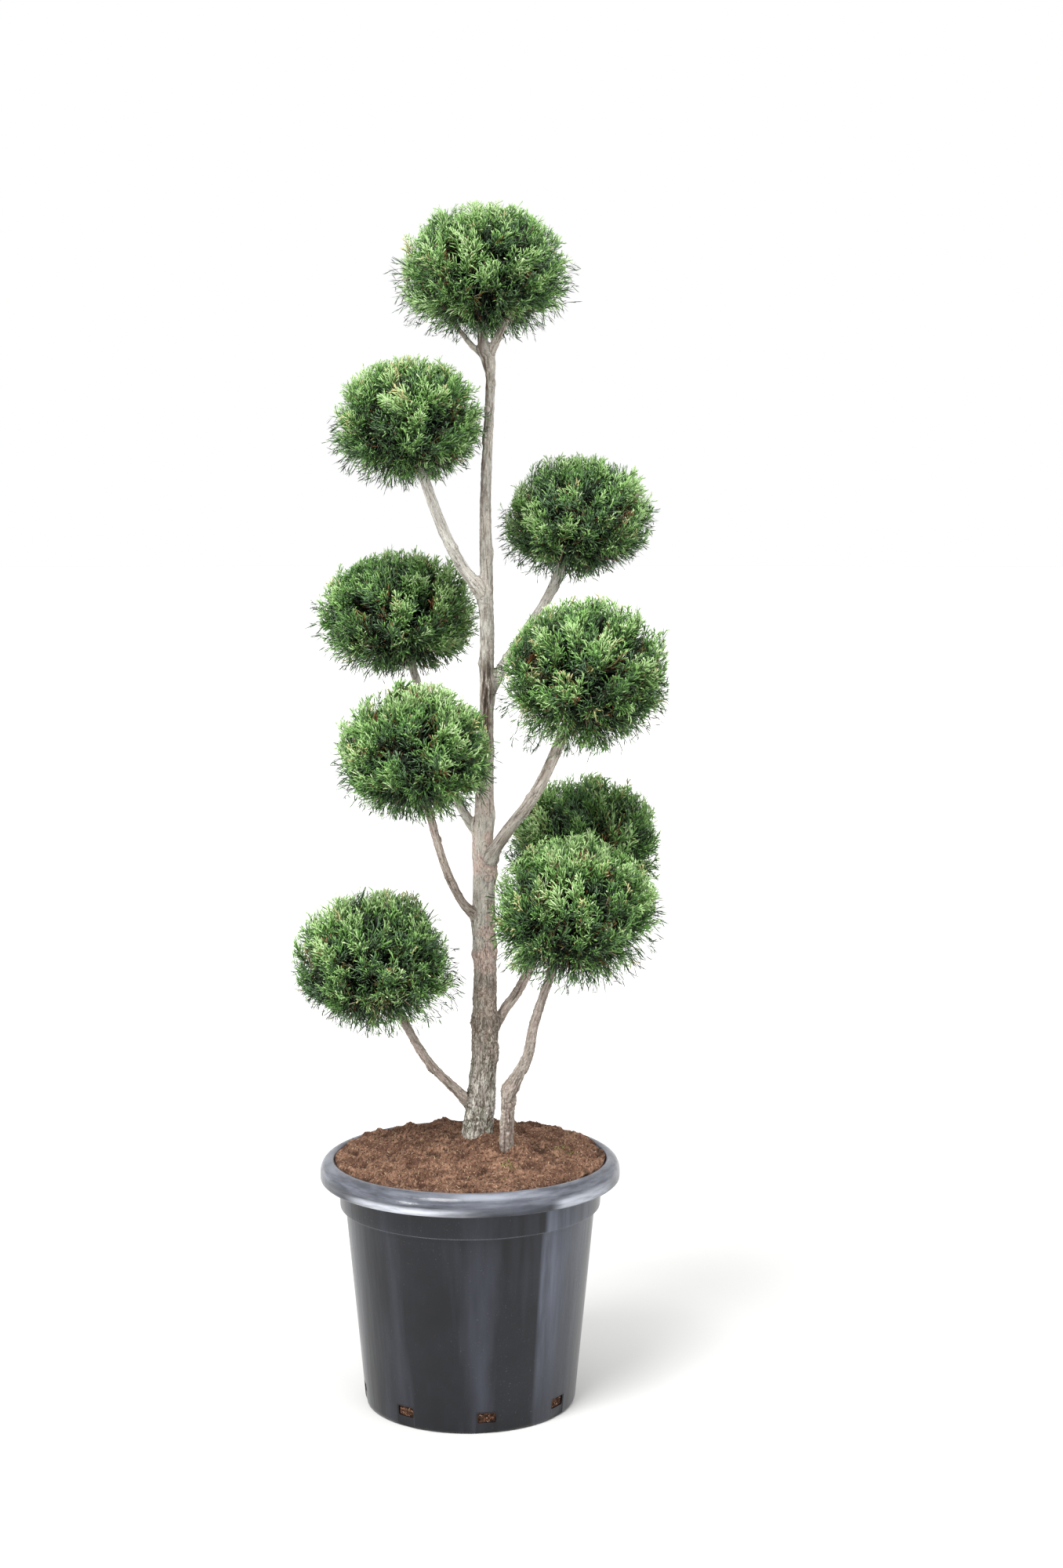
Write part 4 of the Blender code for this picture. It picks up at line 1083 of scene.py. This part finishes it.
def growPompom(pompom, dice, leaves, twigs):
    form = foliageForm
    heart = np.array(pompomForms[pompom][:3])
    tone, blueShare, shoulder, skew, tufts = pompomLooks[pompom]
    limb = limbs[stemOf[pompom]][0]
    foot, footRadius = limb[-1, :3], limb[-1, 3]
    wayIn = unit(limb[-1, :3] - limb[-2, :3])

    def hull(ways):
        return 1 / outlineShare(pompom, heart + ways)[:, None]

    def tuftAt(ways):
        turned = np.arctan2(ways[:, 2], ways[:, 0])
        share = np.zeros(len(ways))
        for angle, amount in tufts:
            away = (turned - math.radians(angle) + math.pi) % math.tau - math.pi
            share += amount * np.exp(-(away / form["tuftWidth"]) ** 2) * (1 - ways[:, 1] ** 2)
        return share

    # The clipped surface: a little lumpy, with a full crown, shoulders and tufts
    lumps = unit(dice.normal(0, 1, (7, 3)))

    def clipped(points):
        ways = unit(points - heart)
        wave = np.sum(np.sin(3.1 * ways @ lumps.T + np.arange(7)), axis=1) / 7
        fullness = form["crown"] * np.clip(ways[:, 2], 0, 1) ** 2
        fullness = fullness + shoulder * np.exp(-((ways[:, 2] + 0.52) / 0.26) ** 2)
        return 1.016 + 0.05 * wave + fullness + skew * ways[:, 0] * ways[:, 2] + tuftAt(ways)

    def addRods(starts, ends, rootRadii, tipRadii, picks):
        twigs.add(rods(starts, ends, rootRadii, tipRadii, (0.3, 0.9, 0.2)), picks)

    def addCurves(roots, knees, ends, steps, radii, pick):
        radius, taper = radii
        for step in range(steps):
            here, there = step / steps, (step + 1) / steps
            addRods(curvePoint(roots, knees, ends, here), curvePoint(roots, knees, ends, there),
                    radius - taper * here, radius - taper * there, pick(step))

    def addLoose(starts, ends, width, odds):
        count = len(starts)
        leaves.add(slips(starts, ends, dice.uniform(*width, count), dice.normal(0, 1, (count, 3)),
                         dice.uniform((0.3, 0.6), (0.6, 0.85), (count, 2))),
                   dice.choice(len(odds), count, p=odds))

    # Limbs inside the pom-pom: one along each axis and an even spread between
    axes = np.array([(1, 0, 0), (-1, 0, 0), (0, 1, 0), (0, -1, 0), (0, 0, 1), (0, 0, -1)], float)
    limbWays = np.concatenate([axes, evenWays(form["limbs"], dice, form["stray"])])
    limbWays = limbWays[limbWays @ wayIn > -0.93]
    limbRoot = foot + (heart - foot) * (0.15 + 0.85 * (limbWays[:, 2:] + 1) / 2)
    limbEnd = heart + limbWays * hull(limbWays) * form["limbReach"]
    limbKnee = limbRoot * 0.45 + limbEnd * 0.55 - (0, 0, 0.012)
    stemSteps = np.linspace(0, 1, 5)
    stemPoints = foot + (heart - foot) * stemSteps[:, None]
    stemRadii = footRadius * (1 - 0.55 * stemSteps)
    addRods(stemPoints[:-1], stemPoints[1:], stemRadii[:-1], stemRadii[1:], 1)
    addCurves(limbRoot, limbKnee, limbEnd, 4, form["limbRadius"], lambda step: step % 2)

    # Twigs, each from the limb that points most nearly its way
    count = form["twigs"]
    twigWays = evenWays(count, dice, form["stray"])
    owner = np.argmax(twigWays @ limbWays.T, axis=1)
    twigRoot = curvePoint(limbRoot[owner], limbKnee[owner], limbEnd[owner], dice.uniform(0.45, 1.0, count))
    twigEnd = heart + twigWays * hull(twigWays) * dice.uniform(*form["twigReach"], (count, 1))
    twigKnee = (twigRoot + twigEnd) / 2 + (limbEnd - limbKnee)[owner] * 0.12
    addCurves(twigRoot, twigKnee, twigEnd, 3, form["twigRadius"],
              lambda step: dice.choice(4, count, p=(0.5, 0.24, 0.2, 0.06)))

    # Sprays, each from the twig nearest its way, with its tip near the clipped outline
    count = form["sprays"]
    ways = unit(evenWays(count, dice, 1.5) + dice.normal(0, 0.035, (count, 3)))
    nearness = ways @ twigWays.T
    owner = np.argmax(nearness, axis=1)
    apart = (np.arccos(np.clip(nearness.max(axis=1), -1, 1)) / form["clumpSize"]) ** 2
    reach = dice.uniform(*form["reach"], count) - form["clump"] * apart + np.maximum(tuftAt(ways), 0)
    tip = heart + ways * hull(ways) * reach[:, None]
    upward = np.array((0.1, 0.0, 1.0))
    height = ways[:, 2:3]
    lean = unit(upward - ways * height + 1e-6)
    sideLean = np.cross(ways, lean)
    plumes = dice.uniform(-1, 1, (form["twigs"], 3))[owner]
    swing = form["swing"] * plumes[:, :1] + dice.normal(0, 0.22, (count, 1))
    lean = lean * np.cos(swing) + sideLean * np.sin(swing)
    outward = (ways - twigWays[owner]) / 0.25
    droop = np.clip((height + 0.75) / 0.6, form["lowLean"], 1.0)
    least, most = form["lean"]
    leaning = least + (most - least) * (0.5 + 0.5 * plumes[:, 1:2]) + dice.normal(0, 0.14, (count, 1))
    axis = unit(ways + lean * leaning * droop + outward * form["fan"])
    length = dice.uniform(*form["sprayLength"], (count, 1)) * np.where(height < -0.3, 1.15, 1.0)
    root = tip - axis * length
    linkRoot = curvePoint(twigRoot[owner], twigKnee[owner], twigEnd[owner], dice.uniform(0.35, 1.0, count))
    side = unit(np.cross(axis, ways + dice.normal(0, 0.2, ways.shape)))
    roll = form["roll"] * plumes[:, 2:] + dice.normal(0, 0.35, (count, 1))
    side = side * np.cos(roll) + np.cross(side, axis) * np.sin(roll)
    normal = np.cross(side, axis)
    bend = dice.uniform(*form["bend"], (count, 1)) * length * np.where(height < -0.35, -0.6, 1.0)

    def place(local):
        along = local[..., 1:2]
        made = root[:, None] + length[:, None] * (local[..., :1] * side[:, None] + along * axis[:, None]
                                                  + local[..., 2:] * normal[:, None])
        return (made + (along ** 2 - along) * bend[:, None] * upward).reshape(-1, 3)

    starts, ends, rank = sprayShoots(count, dice)
    spray = np.repeat(np.arange(count), starts.shape[1])
    starts, ends, rank = place(starts), place(ends), rank.ravel()
    sprayLimit = dice.uniform(*form["clip"], count) + dice.normal(0, 0.040, form["twigs"])[owner]
    sprayLimit = np.where(dice.uniform(0, 1, count) < 0.10, 1.06, np.minimum(sprayLimit, 1.045))
    limit = (sprayLimit[spray] + dice.normal(0, 0.008, len(starts))) * clipped(ends)
    limit = np.minimum(limit, form["tallest"])
    before, after = outlineShare(pompom, starts), outlineShare(pompom, ends)
    cut = np.where(after > limit, (limit - before) / np.maximum(after - before, 1e-6), 1.0)
    ends = starts + (ends - starts) * np.clip(cut, 0, 1)[:, None]
    keep = (before < limit - 0.01) & (cut > 0.3)
    keep &= clearShoots(pompom, starts, ends, form["limbMargin"], 1.01)
    low = (height < -0.4).ravel()
    keep &= ~(low & (dice.uniform(0, 1, count) > form["lowShare"]))[spray]
    keep &= ~(low[spray] & (rank == 2) & (dice.uniform(0, 1, len(starts)) < 0.35))
    starts, ends, rank, spray = starts[keep], ends[keep], rank[keep], spray[keep]
    height = height.ravel()[spray]
    widths = dice.uniform(*form["width"], len(starts)) * np.where(height < -0.45, 0.8, 1.0)
    widths *= np.where(rank == 0, 0.8, 1.0)

    # Deal the greens: darker deep inside, in the clefts between clumps and low down as painted shade, lighter
    # on top as painted light; then by spray and by shoot
    depth = outlineShare(pompom, (starts + ends) / 2)
    sprayMood = dice.normal(0, 0.5, count) + dice.normal(0, 0.7, form["twigs"])[owner]
    sprayMood -= form["cleft"] * np.minimum(apart, 1.6)
    mood = (2.1 + tone + (depth - 0.70) / 0.27 * 3.0 + 0.5 * height + sprayMood[spray]
            + 0.55 * (rank == 2) - 0.5 * (rank == 0) + dice.normal(0, 0.55, len(starts)))
    picks = np.clip(np.round(mood), 0, 6).astype(int)
    picks[(dice.uniform(0, 1, count) < blueShare)[spray] & (picks > 2) & (picks < 5)] = blue
    special = dice.uniform(0, 1, count)[spray]
    picks[(special < 0.035) & (picks > 3)] = straw
    picks[(special > 0.99) & (depth < 0.9)] = rust
    picks[(rank == 0) & (depth < 0.93) & (dice.uniform(0, 1, len(picks)) < 0.16)] = rust
    # a few of the brightest tips take the near-white green as painted highlights
    picks[(picks == 6) & (dice.uniform(0, 1, len(picks)) < 0.12)] = painted_highlight_green
    shoulders = dice.uniform((0.46, 0.84), (0.74, 0.97), (len(starts), 2))
    leaves.add(slips(starts - (ends - starts) * 0.08, ends, widths, normal[spray], shoulders), picks)

    # Long loose hairs hang out of the lower half
    hairWays = evenWays(form["hairs"], dice, 1.5)
    hairWays = hairWays[hairWays[:, 2] < 0.15]
    count = len(hairWays)
    sag = np.clip(0.15 - hairWays[:, 2:3], 0, 0.8) * dice.uniform(0.0, 0.9, (count, 1))
    hairAxis = unit(hairWays + dice.normal(0, 0.22, (count, 3)) - np.array((0, 0, 1.0)) * sag)
    hairFull = clipped(heart + hairWays)[:, None] * hull(hairWays)
    hairTip = heart + hairWays * hairFull * dice.uniform(*form["hairReach"], (count, 1))
    hairRoot = hairTip - hairAxis * dice.uniform(*form["hairLength"], (count, 1))
    hairKnee = (hairRoot + hairTip) / 2 + dice.normal(0, 0.0022, (count, 3))
    upper, middle = hairTip - hairKnee, (hairKnee + hairTip) / 2
    forkTip = hairKnee + upper * 0.8 + dice.normal(0, 0.0045, (count, 3))
    twinTip = middle + upper * 0.35 + dice.normal(0, 0.0035, (count, 3))
    starts = np.concatenate([hairRoot, hairKnee - upper * 0.1, hairKnee, middle])
    ends = np.concatenate([hairKnee, hairTip, forkTip, twinTip])
    clear = clearShoots(pompom, starts, ends, form["limbMargin"], 1.0)
    clear = np.tile(np.all(clear.reshape(4, -1), axis=0), 4)
    addLoose(starts[clear], ends[clear], form["hairWidth"], (0.16, 0.34, 0.14, 0.26, 0.10))

    # Coarse shoots fill the depth, dealt the darkest greens as painted shade
    count = form["deep"]
    deepWays = unit(evenWays(count, dice, 1.5) + dice.normal(0, 0.08, (count, 3)))
    deepTip = heart + deepWays * hull(deepWays) * dice.uniform(*form["deepReach"], (count, 1))
    deepRoot = deepTip - deepWays * dice.uniform(*form["deepLength"], (count, 1))
    fan = dice.normal(0, 0.011, (5, count, 3))
    starts, ends = (deepRoot + fan * 0.25).reshape(-1, 3), (deepTip + fan).reshape(-1, 3)
    clear = clearShoots(pompom, starts, ends, 2 * form["limbMargin"], 1.02)
    clear &= outlineShare(pompom, ends) < 0.93
    addLoose(starts[clear], ends[clear], form["deepWidth"], (0.7, 0.3))

    # Bare dead twiglets fan out below, round the bough
    deadWays = evenWays(90, dice, form["stray"])
    deadWays = deadWays[deadWays[:, 2] < -0.35][:form["deadTwigs"]]
    count = len(deadWays)
    deadRoot = foot + (heart - foot) * dice.uniform(0.0, 0.5, (count, 1))
    deadEnd = heart + deadWays * hull(deadWays) * dice.uniform(*form["deadReach"], (count, 1))
    deadKnee = (deadRoot + deadEnd) / 2 + dice.normal(0, 0.006, (count, 3))
    addCurves(deadRoot, deadKnee, deadEnd, 3, form["deadRadius"], lambda step: dice.choice(2, count))
    forkRoot = curvePoint(deadRoot, deadKnee, deadEnd, dice.uniform(0.55, 0.8, count))
    forkEnd = forkRoot + unit(deadEnd - deadKnee) * 0.016 + dice.normal(0, 0.005, (count, 3))
    addRods(forkRoot, forkEnd, 0.0006, 0.0003, 1)

    # A thin stalk joins each spray that is left to its twig
    left = np.unique(spray)
    addRods(linkRoot[left], root[left] + axis[left] * length[left] * 0.12, 0.00075, 0.00055,
            dice.choice(4, len(left), p=(0.32, 0.05, 0.53, 0.10)))


def makeFoliage():
    greens = [plainMaterial(name, srgb(*colour), 0.6, 0.35) for name, colour in needleColours]
    browns = [plainMaterial(name, srgb(*colour), 0.85, 0.2) for name, colour in twigColours]
    dice = np.random.default_rng(foliageForm["seed"])
    for pompom in pompomForms:
        leaves, twigs = Bundle(), Bundle()
        growPompom(pompom, dice, leaves, twigs)
        sprays = leaves.makeMesh("sprays_" + pompom, greens)
        branches = twigs.makeMesh("twigs_" + pompom, browns)
        for piece, slotName in ((sprays, "foliage"), (branches, "bough_bark")):
            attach(piece, "root")
        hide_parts("foliage_" + pompom)
        print("foliage", pompom, len(sprays.data.polygons), "+", len(branches.data.polygons), "triangles")


makeFoliage()
print("foliage made")
